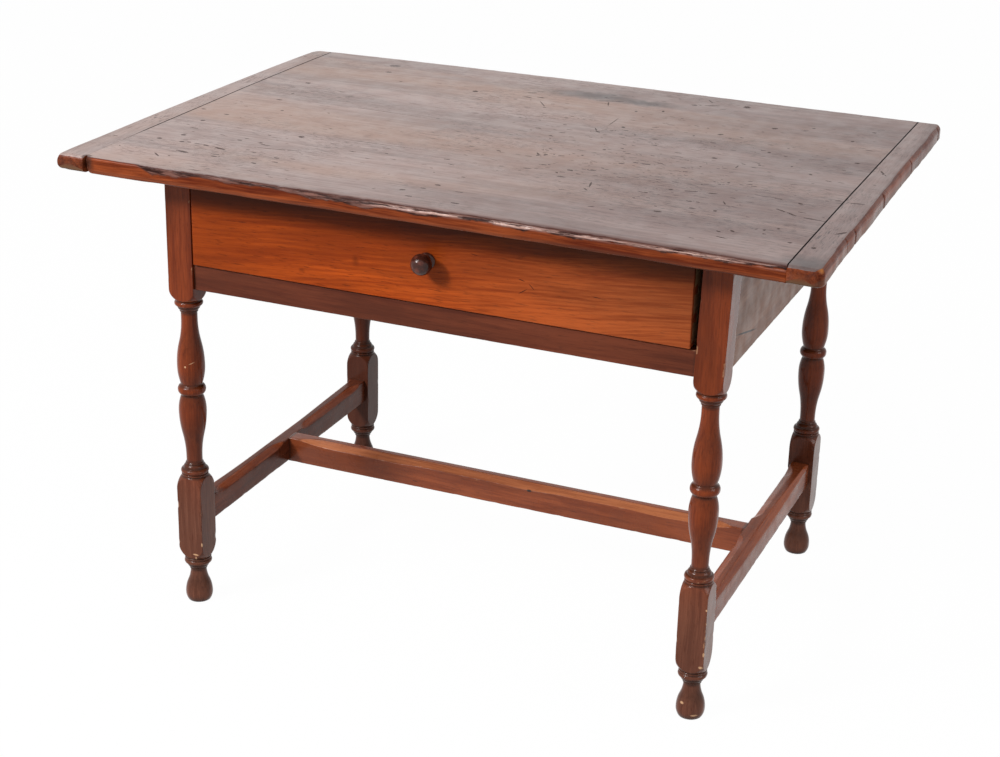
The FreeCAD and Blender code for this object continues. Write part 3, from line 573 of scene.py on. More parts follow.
def varnished_wood(name, axis, colour, specular=0.3, roughness=0.34, contrast=0.28, pores=0.45, rings=0.0,
                   slope=0.0, sides=0.0, dull=None, dark=None, right_colour=None, overhang_shadow=None, planed=None,
                   knots=(), nicks=(), cracks=()):
    """Old varnish over wood: streaked colour, darker hollows, paler arrises, worn and painted as lit, and nicks.

    pores is how strong the short dark pores are, and rings and slope are those of the wood's tone. The varnish
    darkens by the share sides towards both ends, and turns greyer brown from the second down to the first height
    of dull. It darkens by the last number of dark between its two places from front to back: painted shade for
    parts deeper under the table. It turns up to halfway to right_colour towards the right, and darkens by the
    last number of overhang_shadow between its two heights: painted shadow of an overhang above. planed is the
    colour of planed-off corners. knots, nicks and cracks are marks.
    """
    recipe = Recipe(name)
    place = recipe.place()
    across, deep, up = (recipe.part_of(place, letter) for letter in "XYZ")
    tone, fibres = wood_tone(recipe, place, axis, rings, slope)

    clouds = recipe.noise(recipe.stretch(place, BROAD_ALONG[axis]), 22.0, roughness=0.55)
    toned = recipe.mix(tone, *shade_pair(colour, contrast))
    toned = recipe.wash(toned, tint(colour, 0.55), clouds, 0.42, 0.66, 0.6)
    if sides:
        far = recipe.math("ABSOLUTE", recipe.minus(across, 0.06))
        toned = recipe.wash(toned, tint(colour, 0.42), far, 0.1, 0.4, sides)
    # Greyer browns towards the floor.
    if dull:
        toned = recipe.mix(recipe.span(up, *dull, 0.75, 0.0), toned, recipe.mix(tone, *LOW_LEG_COLOURS))
    # Painted shade: darker towards the back, for parts that lie deeper under the table.
    if dark:
        toned = recipe.wash(toned, BACK_SHADE, deep, *dark)
    if knots:
        knotted = recipe.times(recipe.spots(place, knots, 6 * MM, 0.9), 0.55)
        toned = recipe.mix(knotted, toned, tint(colour, 0.3))
    dashes = recipe.noise(recipe.stretch(place, PORES_ALONG[axis]), 520.0, roughness=0.6)
    toned = recipe.wash(toned, tint(colour, 0.35), dashes, 0.56, 0.7, pores)
    if planed:
        toned = recipe.mix(recipe.attribute("planed"), toned, recipe.mix(tone, *shade_pair(planed, contrast)))
    # The colour turns up to halfway to right_colour from left to right.
    if right_colour:
        toned = recipe.wash(toned, recipe.mix(tone, *shade_pair(right_colour, contrast)), across, -0.1, 0.3, 0.5)
    # Painted shadow: the drawer front darkens towards its upper edge, under the top's overhang.
    if overhang_shadow:
        toned = recipe.wash(toned, OVERHANG_SHADOW, up, *overhang_shadow)

    # Darker in the hollows of the turning and at the ends of boards and stretchers.
    worn = recipe.mix(recipe.times(recipe.attribute("hollow"), 0.7), toned, HOLLOW_DARK)
    # Paler arrises and crests: worn wood, and painted highlight where they catch the light.
    scuffs = recipe.noise(place, 75.0, detail=5.0, roughness=0.65)
    rubbed = recipe.span(recipe.plus(scuffs, recipe.times(recipe.attribute("edge"), 0.22)), 0.71, 0.84)
    worn = recipe.mix(recipe.times(rubbed, 0.55), worn, WORN_AND_LIT_ARRIS)
    if nicks:
        worn = recipe.mix(recipe.spots(place, nicks, 1.2 * MM), worn, NICKED_WOOD)
    if cracks:
        worn = recipe.mix(recipe.spots(place, cracks, 0.8 * MM), worn, CRACK)

    gloss = recipe.span(recipe.noise(place, 35.0, detail=4.0), 0.3, 0.7, roughness - 0.06, roughness + 0.1)
    dents = recipe.bump(recipe.noise(place, 40.0, detail=1.0), 0.3 * MM)
    return recipe.surface(worn, gloss, recipe.bump(fibres, 0.07 * MM, dents), specular)


# Marks of the upper face: place X, Y, half length, half width in mm, and turn in degrees.
TOP_NICKS = (
    (-423, -205, 4, 3.5, 0), (-443, -235, 4, 3, 10), (-407, -236, 4, 2.4, 0), (-397, -233, 3, 2.2, 0),
    (-370, -236, 7, 2.6, -14), (-343, -242, 9, 3, -10), (-380, -278, 11, 3, -12), (-331, -279, 5, 1.8, 0),
    (-404, -305, 9, 1.4, -42), (-268, -283, 5, 2.2, -10), (-253, -247, 4, 2, 0), (-274, -138, 4, 5, 30),
    (-309, -191, 4, 2.4, 10), (-302, -197, 3, 2, 0), (-341, -192, 3.5, 1.8, 0), (-336, -180, 4, 1.6, 0),
    (-472, -69, 4, 2, 0), (-440, -125, 3.5, 3, 0), (-427, -80, 4, 2, 0), (-401, 29, 4, 2.2, 0),
    (-367, -24, 3, 2.2, 0), (-401, 71, 3, 2, 0), (-413, 142, 4, 4, 0), (-336, 266, 4, 4, 0), (-165, 215, 4, 5, 20),
    (-40, -302, 4, 2.4, 20), (-19, -283, 4, 1.8, 0), (-21, -323, 5, 1.6, 0), (-8, -262, 4, 2.2, 0),
    (44, -324, 6, 2.2, 0), (6, -214, 4, 1.5, 0), (234, 318, 5, 6, 20), (306, -178, 5, 2.4, 0),
    (318, -205, 5, 2, 0), (283, -238, 6, 2.8, 0), (55, -70, 7.5, 2, 47), (52, -65, 8.1, 1.6, -57),
    (61, -65, 5.7, 3.1, 40), (72, -56, 4.9, 1.8, 50), (83, -59, 5.8, 1.7, 15), (50, -40, 4.1, 1.7, 0),
    (57, -33, 3.8, 2, -14), (79, -111, 6.1, 1.7, 5), (120, -119, 4.8, 3.1, -20), (144, -105, 6.5, 2.4, 1),
    (120, -153, 6.3, 2, 6), (167, -168, 11.6, 1.4, -77), (169, -191, 5.8, 1.3, -46), (108, -43, 3.8, 2, 9),
    (77, 93, 8.1, 1.1, -62), (84, 82, 4.6, 2, -34), (89, 95, 6, 1.1, 55), (101, 97, 5.2, 2.2, 35),
    (108, 122, 2.9, 3.7, -1), (85, 143, 24.2, 0.8, -89), (125, -2, 2.4, 2.7, -24), (169, -56, 4.5, 2, 20),
    (185, -43, 4.2, 1.9, -8), (203, -43, 9.7, 2.2, 9), (-80, 219, 7.2, 2.2, -11), (-84, 246, 7.2, 2, 9),
    (-61, 226, 6.5, 2, 0), (-44, 190, 17.9, 1, -55), (41, 242, 13.6, 1.2, -70), (41, 256, 19.7, 1.7, 22),
    (32, 32, 3.9, 1.6, 58), (130, 235, 2.2, 4.4, 9), (94, 216, 2.8, 2.7, 43), (160, 292, 5.1, 2.7, 11),
    (175, 325, 9.1, 1.2, -55), (185, 302, 11.9, 2, 21), (244, 150, 4.5, 2.7, 36), (274, 28, 4.4, 3.4, 11),
    (213, 125, 2, 2.7, 8), (326, -76, 2, 2.4, 11), (314, 2, 6.1, 1.2, 89), (268, -141, 2.6, 3.4, 15),
    (295, -135, 10.5, 2, 15), (321, -132, 6.4, 2, 17), (243, -169, 2.7, 2.2, 16), (421, -162, 9.3, 2, -29),
    (437, -171, 9.8, 2, -35), (464, -179, 19.7, 1.7, -6), (477, -88, 5.5, 1.7, 15), (500, -90, 10.5, 1.7, 8),
    (456, 94, 3.6, 3.4, 6), (499, 62, 11.2, 1.6, -61), (500, 59, 4.9, 1.4, 78), (305, 218, 4.5, 3.7, 19),
    (333, 91, 2.5, 3.1, -4), (275, 27, 3.2, 3.1, 16), (339, 23, 2.1, 2.7, 10), (440, 263, 3.1, 2.7, 0),
    (423, 201, 2.7, 3.1, -3), (356, 245, 2.3, 2.5, 9), (413, 11, 2.3, 2.7, 12), (380, 37, 2.4, 1.4, 79),
    (512, -217, 9.5, 2.2, 53), (523, -233, 2.7, 2.4, -41), (496, -286, 3, 3.7, 17), (435, -123, 4, 2.5, -30),
    (348, -166, 7.9, 1.2, -63), (347, -202, 2.4, 2.7, 0), (390, -270, 4.3, 1.8, -47), (424, -248, 1.9, 2.7, 11),
    (438, -235, 2, 2.7, -4), (465, -280, 2.8, 2.4, -5), (414, -249, 2.4, 1.3, 53), (375, -279, 3.4, 2, -23),
)
TOP_LINES = (
    (-274, -209, 42, 1.3, 10), (-30, 120, 40, 0.9, 4), (-150, -120, 50, 0.8, 1), (-220, 40, 60, 0.9, -2),
)
TOP_KNOTS = ((-346, 310, 9, 7, 10), (-336, 266, 5, 4, 0), (-481, -355, 7, 6, 0))

# Dark stains on the upper face, and one broken and one rubbed spot on its edge: centre and half sizes in mm, and
# turn in degrees. A spot of the edge also has how far its outline wanders and its colour.
STAINS = (((10, 276, 680), (112, 36, 40), (0, 0, 4)), ((84, 268, 680), (84, 26, 40), (0, 0, 0)),
          ((504, -342, 680), (50, 40, 40), (0, 0, 0)))
EDGE_SPOTS = ((((-476, -356, 671), (13, 12, 16), (0, 0, 0)), 6 * MM, (0.05, 0.016, 0.009)),
              (((521, -352, 674), (7, 6, 6), (0, 0, 0)), 3 * MM, (0.62, 0.22, 0.05)))

# Colours of the top's wear, dirt and grain, among them painted shade, sheen and highlights. A pair is for the
# dark and the light grain.
WARM_GRAIN = (0.4, 0.24, 0.175)
SOILED_AND_SHADED_GRAIN = ((0.135, 0.082, 0.074), (0.2, 0.128, 0.115))
STAIN = (0.062, 0.042, 0.04)
SEAM = (0.004, 0.002, 0.002)
RIM_SHADE = (0.07, 0.026, 0.021)
CROSS_EDGE = (0.15, 0.04, 0.017)
SAWN_ENDS = ((0.085, 0.018, 0.008), (0.24, 0.052, 0.016))
DUST_AND_SHEEN = (0.14, 0.075, 0.05)
TORN_WOOD = ((0.028, 0.008, 0.006), (0.2, 0.092, 0.072))
GLINT_COLOUR = (0.6, 0.36, 0.29)
UNDERSIDE = (0.15, 0.075, 0.04)


def flat_marks():
    """All marks of the upper face with their strengths."""
    placed = ((TOP_NICKS, 0.85), (TOP_LINES, 0.75), (TOP_KNOTS, 0.7))
    return [(*mark, strength) for marks, strength in placed for mark in marks] + small_nicks(17, 800)


def seam_place():
    """How far both seams lie from the middle of the top."""
    return -corners("left_breadboard_end")[1][0]


def seam_line(recipe, place):
    """The dark joints between the main board and the end boards. The left one closes up towards the front."""
    across = recipe.part_of(recipe.wander(place, 160.0, 0.5 * MM), "X")
    gap = recipe.math("ABSOLUTE", recipe.minus(recipe.math("ABSOLUTE", across), seam_place()))
    line = recipe.span(gap, 0.85 * MM, 1.25 * MM, 1.0, 0.0)
    left_open = recipe.span(recipe.part_of(place, "Y"), -0.27, -0.19, 0.1, 1.0)
    return recipe.times(line, recipe.math("MAXIMUM", left_open, recipe.span(across, 0.1, 0.2)))


def upper_colour(recipe, place, axis, tone, colours):
    """Colour of the upper face: dulled grain, warm in clouds, with dirt patches, pits, pores and stains.

    The dark patches grow towards the right front, where they also are painted shade for its fainter sheen.
    """
    upper, dark = tuple(colours.top), tuple(colours.top_dark)
    grained = recipe.mix(tone, blend(upper, dark, 0.3), tint(upper, 1.16))
    clouds = recipe.noise(recipe.stretch(place, BROAD_ALONG[axis]), 7.0)
    warmed = recipe.wash(grained, WARM_GRAIN, clouds, 0.44, 0.66, 0.6)
    soil = recipe.noise(recipe.stretch(place, BROAD_ALONG[axis], (0.3, 0, 0)), 12.0, detail=4.0)
    # Dirt patches, laid on more heavily towards the right front as painted shade for its fainter sheen.
    rightwards = recipe.minus(recipe.part_of(place, "X"), recipe.times(recipe.part_of(place, "Y"), 0.35))
    share = recipe.times(recipe.span(soil, 0.36, 0.62, 0.55, 1.0), recipe.span(rightwards, -0.3, 0.56, 0.05, 1.1))
    soiled_and_shaded = recipe.mix(share, warmed, recipe.mix(tone, *SOILED_AND_SHADED_GRAIN))
    pores = recipe.stretch(place, PORES_ALONG[axis])
    crowd = recipe.span(recipe.noise(recipe.stretch(place, (0.6, 1, 1), (0, 0.4, 0)), 9.0), 0.42, 0.62)
    dashes = recipe.span(recipe.noise(pores, 800.0, detail=2.0), 0.57, 0.63)
    pitted = recipe.mix(recipe.times(dashes, recipe.times(crowd, 0.85)), soiled_and_shaded, dark)
    porous = recipe.wash(pitted, tint(dark, 2.0), recipe.noise(pores, 420.0, roughness=0.6), 0.58, 0.68, 0.5)
    return recipe.mix(recipe.times(recipe.spots(place, STAINS, 26 * MM, 0.9), 0.9), porous, STAIN)


def edge_colour(recipe, place, axis, tone, torn_grain, polish, colours):
    """Colour of the edges: varnish, sawn ends, torn wood and the bare underside.

    The dusty lower band also carries painted sheen, and the polished arris painted pink highlights.
    """
    edge = tuple(colours.edge)
    if axis == "y":
        edge = blend(edge, CROSS_EDGE, 0.4)
    colour = recipe.mix(tone, *shade_pair(edge, 0.5))
    colour = recipe.mix(recipe.attribute("sawn"), colour, recipe.mix(tone, *SAWN_ENDS))
    # The lower band of the edges: dust, and painted sheen of the floor's reflection.
    colour = recipe.mix(recipe.attribute("dust"), colour, DUST_AND_SHEEN)
    torn = recipe.mix(recipe.span(torn_grain, 0.42, 0.6), *TORN_WOOD)
    colour = recipe.mix(recipe.attribute("chip"), colour, torn)
    # Painted highlight: pink glints along the polished front arris.
    colour = recipe.mix(recipe.times(polish, 0.8), colour, GLINT_COLOUR)
    for spot, shake, spot_colour in EDGE_SPOTS:
        colour = recipe.mix(recipe.spots(place, (spot,), shake, 0.8), colour, spot_colour)
    return recipe.mix(recipe.attribute("under"), colour, UNDERSIDE)


def worn_top(name, axis, colours):
    """Old dulled finish of the top: mauve-brown upper face with nicks and lines, and red-brown, chipped edges."""
    recipe = Recipe(name)
    place = recipe.place()
    tone, fibres = wood_tone(recipe, place, axis)
    nicks, seam = recipe.marks(place), seam_line(recipe, place)
    upper = recipe.mix(nicks, upper_colour(recipe, place, axis, tone, colours), tuple(colours.top_dark))
    upper = recipe.mix(seam, upper, SEAM)
    torn_grain = recipe.noise(recipe.stretch(place, TORN_ALONG[axis]), 380.0, detail=4.0, roughness=0.65)
    polish = recipe.times(recipe.attribute("polish"), recipe.span(torn_grain, 0.44, 0.56))
    edge = edge_colour(recipe, place, axis, tone, torn_grain, polish, colours)

    fray = recipe.times(recipe.minus(recipe.noise(place, 160.0, detail=4.0), 0.5), 0.6)
    face = recipe.span(recipe.plus(recipe.attribute("upper"), fray), 0.4, 0.6)
    # Painted shade: a dark line where the upper face breaks off, and along the flakes' lower step.
    colour = recipe.mix(recipe.times(recipe.attribute("rim"), 0.85), recipe.mix(face, edge, upper), RIM_SHADE)

    cloudy = recipe.span(recipe.noise(place, 28.0, detail=4.0), 0.3, 0.7, 0.22, 0.36)
    gloss = recipe.plus(recipe.times(face, 0.12), cloudy)
    dents = recipe.bump(recipe.noise(place, 34.0), 0.35 * MM)
    splinters = recipe.bump(recipe.times(torn_grain, recipe.attribute("chip")), 1.2 * MM, dents)
    grainy = recipe.bump(recipe.minus(recipe.times(fibres, 0.4), nicks), 0.3 * MM, splinters)
    clean = recipe.minus(1.0, recipe.times(recipe.math("MAXIMUM", nicks, seam), 0.98))
    shine = recipe.times(recipe.span(face, 0.0, 1.0, 0.08, 0.5), clean)
    return recipe.surface(colour, gloss, grainy, recipe.plus(shine, recipe.times(polish, 0.6)))


def bare_wood(name, axis, colour):
    """Unfinished, planed inner woodwork gone brown with age."""
    recipe = Recipe(name)
    place = recipe.place()
    tone, fibres = wood_tone(recipe, place, axis, rings=0.4, height="Y" if axis == "x" else "Z")
    base = recipe.mix(tone, tint(colour, 0.62), tint(colour, 1.1))
    aged = recipe.wash(base, tint(colour, 0.5), recipe.noise(place, 14.0, detail=4.0), 0.4, 0.7, 0.5)
    return recipe.surface(aged, 0.75, recipe.bump(fibres, 0.15 * MM), 0.2)


def nail_iron(name):
    """Dark iron with spots of rust."""
    recipe = Recipe(name)
    rust = recipe.span(recipe.noise(recipe.place(), 900.0, detail=4.0), 0.4, 0.65)
    colour = recipe.mix(rust, (0.06, 0.055, 0.05), (0.16, 0.06, 0.03))
    return recipe.surface(colour, 0.6, recipe.bump(rust, 0.1 * MM), 0.5)


def black_knob(name, colour):
    """Ebonised turning with faint lathe lines and a soft shine."""
    recipe = Recipe(name)
    place = recipe.place()
    lines = recipe.noise(recipe.stretch(place, (0.1, 1, 0.1)), 900.0)
    rub = recipe.noise(place, 130.0, detail=4.0)
    shade = recipe.mix(recipe.span(rub, 0.45, 0.7), colour, tint(colour, 2.6))
    gloss = recipe.span(rub, 0.3, 0.7, 0.12, 0.24)
    return recipe.surface(shade, gloss, recipe.bump(recipe.plus(lines, rub), 0.1 * MM), 0.3)


def dress(node, material):
    """Give a CAD node its finish."""
    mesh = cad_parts[node].data
    mesh.materials.clear()
    mesh.materials.append(material)


# --------------------------------------------------------------------------------------------- pieces

def make_top(sizes, colours):
    """The worn top: a wide board between two end boards, all three twisted a little."""
    along_x = worn_top("dulled top, grain along", "x", colours)
    along_y = worn_top("dulled top, grain across", "y", colours)
    make_main_board(sizes, along_x)
    make_end_board("worn_left_end", "left_breadboard_end", -1, sizes, along_y)
    make_end_board("worn_right_end", "right_breadboard_end", 1, sizes, along_y)


def twisted(rings, sizes):
    """The top's rings, lowered at the front right and back left.

    The drop is the twist times the square of -x y over its value at the corner, and 0 where -x y is less than 0.
    """
    reach = corners("right_breadboard_end")[1]
    share = np.clip(-rings[..., 0] * rings[..., 1] / (reach[0] * reach[1]), 0, 1)
    lowered = rings.copy()
    lowered[..., 2] -= sizes.twist * share ** 2
    return lowered


FLAKE_SEED = 31
# Deep scoops among the flakes: place X, half width and depth across the edge in mm.
SCOOPS = ((-372, 20, 6), (-95, 30, 3))


def face_rim(run, seed):
    """Where the upper face's dull finish ends, as a ragged line just inside the edge's round."""
    return -(1.0 + 1.4 * jagged(run, 34 * MM, seed) + 0.7 * jagged(run, 9 * MM, seed + 9)) * MM


def flakes(run, over, strength, seed):
    """Layers split off along an edge: how deep each point lies and whether it is on broken wood.

    run is the distance along the edge and over the distance across it from the middle of its round. The broken
    band lies between two ragged lines, and a third one within it steps down to a deeper layer. Also
    returned is painted shade along the band's lower line, where it steps back to the sound edge.
    """
    first = face_rim(run, seed)
    scoop = sum(deep * bell(run - place * MM, wide * MM) for place, wide, deep in SCOOPS)
    last = (2.5 + 7 * jagged(run, 40 * MM, seed + 1) ** 2 + 2 * jagged(run, 7 * MM, seed + 2) + scoop) * MM
    last = first + (last - first) * smooth_step(run, -410 * MM, -380 * MM)
    middle = first + (last - first) * (0.15 + 0.55 * jagged(run, 26 * MM, seed + 3))
    broken = smooth_step(over, first - 0.3 * MM, first + 0.3 * MM) * (1 - smooth_step(over, last - 0.4 * MM, last))
    layers = 0.35 + 0.6 * jagged(run, 24 * MM, seed + 4) + 0.8 * (1 - smooth_step(over, middle - 0.3 * MM, middle))
    # Painted shade in the step at the broken band's lower line.
    step_shade = bell(over - last, 0.8 * MM) * (0.4 + 0.6 * jagged(run, 11 * MM, seed + 5)) * (last > first + 2 * MM)
    return broken * layers * strength, broken, step_shade


def make_main_board(sizes, material):
    """The wide board: a rounded section carried along X between the seams.

    The front upper round grows from its left to its middle, flakes are missing along it, and beside the left
    seam the front corner is broken away by a squared fall.
    """
    low, high = corners("top_board")
    seam = seam_place()
    places = stations(-seam, seam, 1.6 * MM, sizes.seam_round)
    pull = end_inset(places, -seam, seam, sizes.seam_round)
    fall = (1 - np.clip((places + seam) / (11 * MM), 0, 1)) ** 2
    worn = smooth_step(places, -260 * MM, -60 * MM)
    front_round = sizes.crisp_round + (sizes.front_round - sizes.crisp_round) * worn + 3 * MM * fall
    under_round = sizes.under_round + 7 * MM * fall
    keep = np.ones_like(places)
    columns = section_columns((4, 70, 14, 6), (4, 6, 15, 6))
    points, outward = board_section(
        low[1] + pull + 5 * MM * fall, high[1] - pull, low[2] + pull, high[2] - pull,
        [sizes.under_round * keep, 0.7 * sizes.side_round * keep, front_round, under_round], columns)
    over, back = (distance_over_edge(points, columns, corner) for corner in (2, 1))
    depth, attributes = main_board_wear(to_space(points, places, 0), outward, over, back,
                                        worn[:, None], fall[:, None])
    finish_top("worn_top_board", "top_board", points, outward, depth, places, 0, sizes, attributes, material,
               "top_wood")


def main_board_wear(rings, outward, over, back, worn, fall):
    """How deep each point of the wide board is worn, and the attributes that its finish reads.

    over and back are the distances across the front and the back edge. Flakes, then strands and waves of noise
    take wood off the front edge, a ragged line off the back edge, and steps off the broken corner.
    """
    run = rings[..., 0]
    facing_up = outward[..., 1] > 0.3
    depth, broken, step_shade = flakes(run, over, (1 - 0.45 * worn) * MM, FLAKE_SEED)
    # The polished worn arris: higher gloss, and painted pink highlights in its colour.
    polish = smooth_step(run, -80 * MM, -15 * MM) * bell(over - 2.2 * MM, 2.6 * MM) * np.clip(
        0.75 + 0.5 * ripple(rings * np.array((0.3, 1, 1)), 22 * MM, 12), 0, 1)
    strands = np.clip(ripple(rings * np.array((0.25, 1, 1)), 9 * MM, 13), -1, 1)
    depth = depth + worn * 0.4 * MM * strands * bell(over - 2 * MM, 5 * MM)
    on_edge = smooth_step(over, -3 * MM, 0) * (over < 30 * MM)
    depth = depth + 0.5 * MM * on_edge * (0.5 + 0.5 * ripple(rings, 45 * MM, 8))
    depth = depth + 0.6 * MM * jagged(run, 9 * MM, 51) * bell(back, 3 * MM)
    first = face_rim(run, FLAKE_SEED)
    # Painted shade: a dark line just below where the upper face breaks off.
    rim = bell(over - first - 0.4 * MM, (1.1 + 0.9 * worn) * MM) * facing_up
    rim = np.maximum(rim, step_shade * (1 - 0.6 * worn))
    upper = (1 - smooth_step(over, first - 0.4 * MM, first + 0.4 * MM)) * facing_up
    upper = upper * (1 - smooth_step(back, -1 * MM, 1 * MM))
    gouge = np.sqrt(fall) * on_edge
    depth = depth + 2 * MM * gouge * jagged(over, 5 * MM, 77)
    # Greyer lower band of the front edge: dust, with painted sheen.
    lower_band = 0.2 * smooth_step(over, 14 * MM, 17 * MM) * (outward[..., 0] < -0.5)
    return depth, {"upper": upper, "chip": np.maximum(broken, gouge), "polish": polish, "rim": rim,
                   "dust": lower_band, "sawn": 0 * upper}


# How much narrower the end boards are at the back, and where the right one's outer edge is dented.
END_TAPER = 10 * MM
EDGE_DENTS = (336 * MM, 145 * MM, -30 * MM, -192 * MM)


def make_end_board(name, node, side, sizes, material):
    """A breadboard end: a rounded section carried along Y, between the seam and the slanting outer edge.

    The outer edge tapers to the back, comes in over rounded corners and waves by a millimetre. The left board,
    side -1, has a blunter nose and a gap beside it, and the right board has dents in its outer edge.
    """
    is_left = side < 0
    low, high = corners(node)
    front, back = low[1], high[1]
    seam, reach = sorted((abs(low[0]), abs(high[0])))
    places = stations(front, back, 1.5 * MM, 8 * MM, 11)
    from_front = places - front
    pull = end_inset(places, front, back, 7 * MM)
    front_radius, back_radius = (3 * MM, 20 * MM) if is_left else (13 * MM, 9 * MM)
    corner_in = np.maximum(circle_inset(from_front, front_radius), circle_inset(back - places, back_radius))
    wave = 0.5 * MM * (1 + np.sin(places / (55 * MM)))
    outer = reach - END_TAPER * from_front / (back - front) - np.maximum(0.35 * pull, corner_in) - wave
    inner = seam + 2 * MM * (1 - np.clip(from_front / (9 * MM), 0, 1)) ** 2 * is_left
    nose = bell(from_front, 22 * MM) * is_left
    seam_round = sizes.seam_round * np.ones_like(places)
    outer_round = sizes.side_round + 2.5 * MM * nose - 0.6 * pull
    lower_round = sizes.under_round * (1 + 1.2 * nose) - 0.3 * pull
    if is_left:
        across, radii = (-outer, -inner), (seam_round, seam_round, outer_round, lower_round)
        columns = section_columns((8, 14, 14, 8), (5, 5, 14, 6))
    else:
        across, radii = (inner, outer), (lower_round, outer_round, seam_round, seam_round)
        columns = section_columns((14, 14, 8, 8), (6, 14, 5, 5))
    points, outward = board_section(*across, low[2] + 0.6 * pull, high[2] - pull, radii, columns)
    rings = to_space(points, places, 1)
    run = rings[..., 1]
    over = distance_over_edge(points, columns, 2 if is_left else 1)
    outside = smooth_step(over, -4 * MM, 2 * MM) * (over < 32 * MM)
    dents = 0 * run if is_left else sum(bell(run - place, 2.2 * MM) for place in EDGE_DENTS)
    depth = outside * (1.8 * MM * dents + 0.5 * MM * jagged(run, 14 * MM, 61 + side)
                       + 0.5 * MM * (0.5 + 0.5 * ripple(rings, 50 * MM, 9)))
    first = -(2.2 + 1.5 * jagged(run, 40 * MM, 71 + side)) * MM
    facing_up = outward[..., 1] > 0.3
    end_face = 1 - smooth_step(np.minimum(run - front, back - run), 0.5 * MM, 2.5 * MM)
    upper = (1 - smooth_step(over, first - 0.5 * MM, first + 0.5 * MM)) * facing_up * (1 - end_face)
    # Greyer lower band of the outer edge: dust, with painted sheen.
    dust = smooth_step(over, 9.5 * MM, 13 * MM) * (np.abs(outward[..., 0]) > 0.5) * (over < 32 * MM) * 0.5
    # Painted shade: a faint dark line just below where the upper face ends.
    rim = 0.4 * bell(over - first - 1 * MM, 2.5 * MM) * facing_up
    chip = np.clip(np.maximum(dents * outside, 0.12 * end_face), 0, 1)
    attributes = {"upper": upper, "chip": chip, "dust": dust, "sawn": end_face, "polish": 0 * upper, "rim": rim}
    finish_top(name, node, points, outward, depth, places, 1, sizes, attributes, material, "breadboard_wood")


def finish_top(name, node, points, outward, depth, places, along, sizes, attributes, material, slot):
    """Sink a board of the top by its wear, dip its upper face slightly, twist it and make the piece."""
    worn = points - outward * np.maximum(depth, 0)[..., None]
    rings = to_space(worn, places, along)
    dip = 0.3 * MM * np.maximum(0.5 + 0.5 * ripple(rings * np.array([1, 1, 0]), 220 * MM, 5), 0)
    rings[..., 2] -= dip * (outward[..., 1] > 0.7)
    attributes["under"] = smooth_step(-outward[..., 1], 0.8, 1.0)
    piece = skin(name, twisted(rings, sizes), attributes, material, slot, "table", node)
    lay_marks(piece, flat_marks())


def arc_between(first, bend, last, steps=12):
    """Points of the circle through three points, from the first to the last, each (radius, height)."""
    (x0, y0), (x1, y1), (x2, y2) = first, bend, last
    det = 2 * (x0 * (y1 - y2) + x1 * (y2 - y0) + x2 * (y0 - y1))
    q0, q1, q2 = x0 * x0 + y0 * y0, x1 * x1 + y1 * y1, x2 * x2 + y2 * y2
    centre = ((q0 * (y1 - y2) + q1 * (y2 - y0) + q2 * (y0 - y1)) / det,
              (q0 * (x2 - x1) + q1 * (x0 - x2) + q2 * (x1 - x0)) / det)
    start, through, end = (math.atan2(y - centre[1], x - centre[0]) for x, y in (first, bend, last))
    span = (end - start) % TAU
    if (through - start) % TAU > span:
        span -= TAU
    angles = start + np.linspace(0, 1, steps) * span
    radius = math.hypot(x0 - centre[0], y0 - centre[1])
    return [(centre[0] + radius * math.cos(a), centre[1] + radius * math.sin(a)) for a in angles]


def upright_arc(upright, other):
    """Arc that runs along the leg at one end: its middle is half a chord along and bowed from the chord."""
    reach = other[0] - upright[0]
    rise = other[1] - upright[1]
    chord = math.hypot(reach, rise)
    bend = (upright[0] + reach / 2 - abs(rise) * (chord - abs(rise)) / (2 * reach),
            upright[1] + math.copysign(chord / 2, rise))
    return arc_between(upright, bend, other)


def ogee(first, last):
    """S-curve of two upright arcs that meet half way."""
    knee = ((first[0] + last[0]) / 2, (first[1] + last[1]) / 2)
    return upright_arc(first, knee) + upright_arc(last, knee)[::-1]


def collar(sizes, root, way, with_ring):
    """Turned collar from a block's shoulder to the neck: quirk, thin ring, bead, dome and neck ring."""
    bead, neck = sizes.bead / MM, sizes.neck / MM
    quirk, dome = bead - 2.2, bead - 3.7
    start = 4.6 if with_ring else 2.2
    points = [(bead - 1.1, 0), (quirk, 1)]
    if with_ring:
        points += [(bead - 0.8, 1.8), (bead - 0.8, 3.6), (quirk, 4.0)]
    points += arc_between((quirk, start), (bead, start + 3.5), (quirk, start + 7))
    points += [(dome, start + 7.5)] + arc_between((dome, start + 7.8), (dome - 1.1, start + 11.3),
                                                   (neck + 0.7, start + 14.2))
    points += [(neck + 1.4, start + 14.6), (neck + 1.4, start + 16.2), (neck, start + 16.7)]
    return [(radius, root + way * step) for radius, step in points]


# Heights on a leg in mm: the two square blocks, the collars' ends beside them, the widest places of the foot and
# the two swells, the two necks, and the pinches below and above the waist bead.
LOW_BLOCK, HIGH_BLOCK = (92, 182), (486, 657)
LOW_ROOT, MIDDLE_ROOT, HIGH_ROOT = 71.5, 200, 469.5
FOOT_SWELL, LOW_SWELL, HIGH_SWELL = 11.5, 302, 370
LOW_NECK, HIGH_NECK = 230, 440
WAIST = (325.5, 342.5)
# How far the front right leg's head leans to the right, over its high block.
LEAN = 4.5 * MM


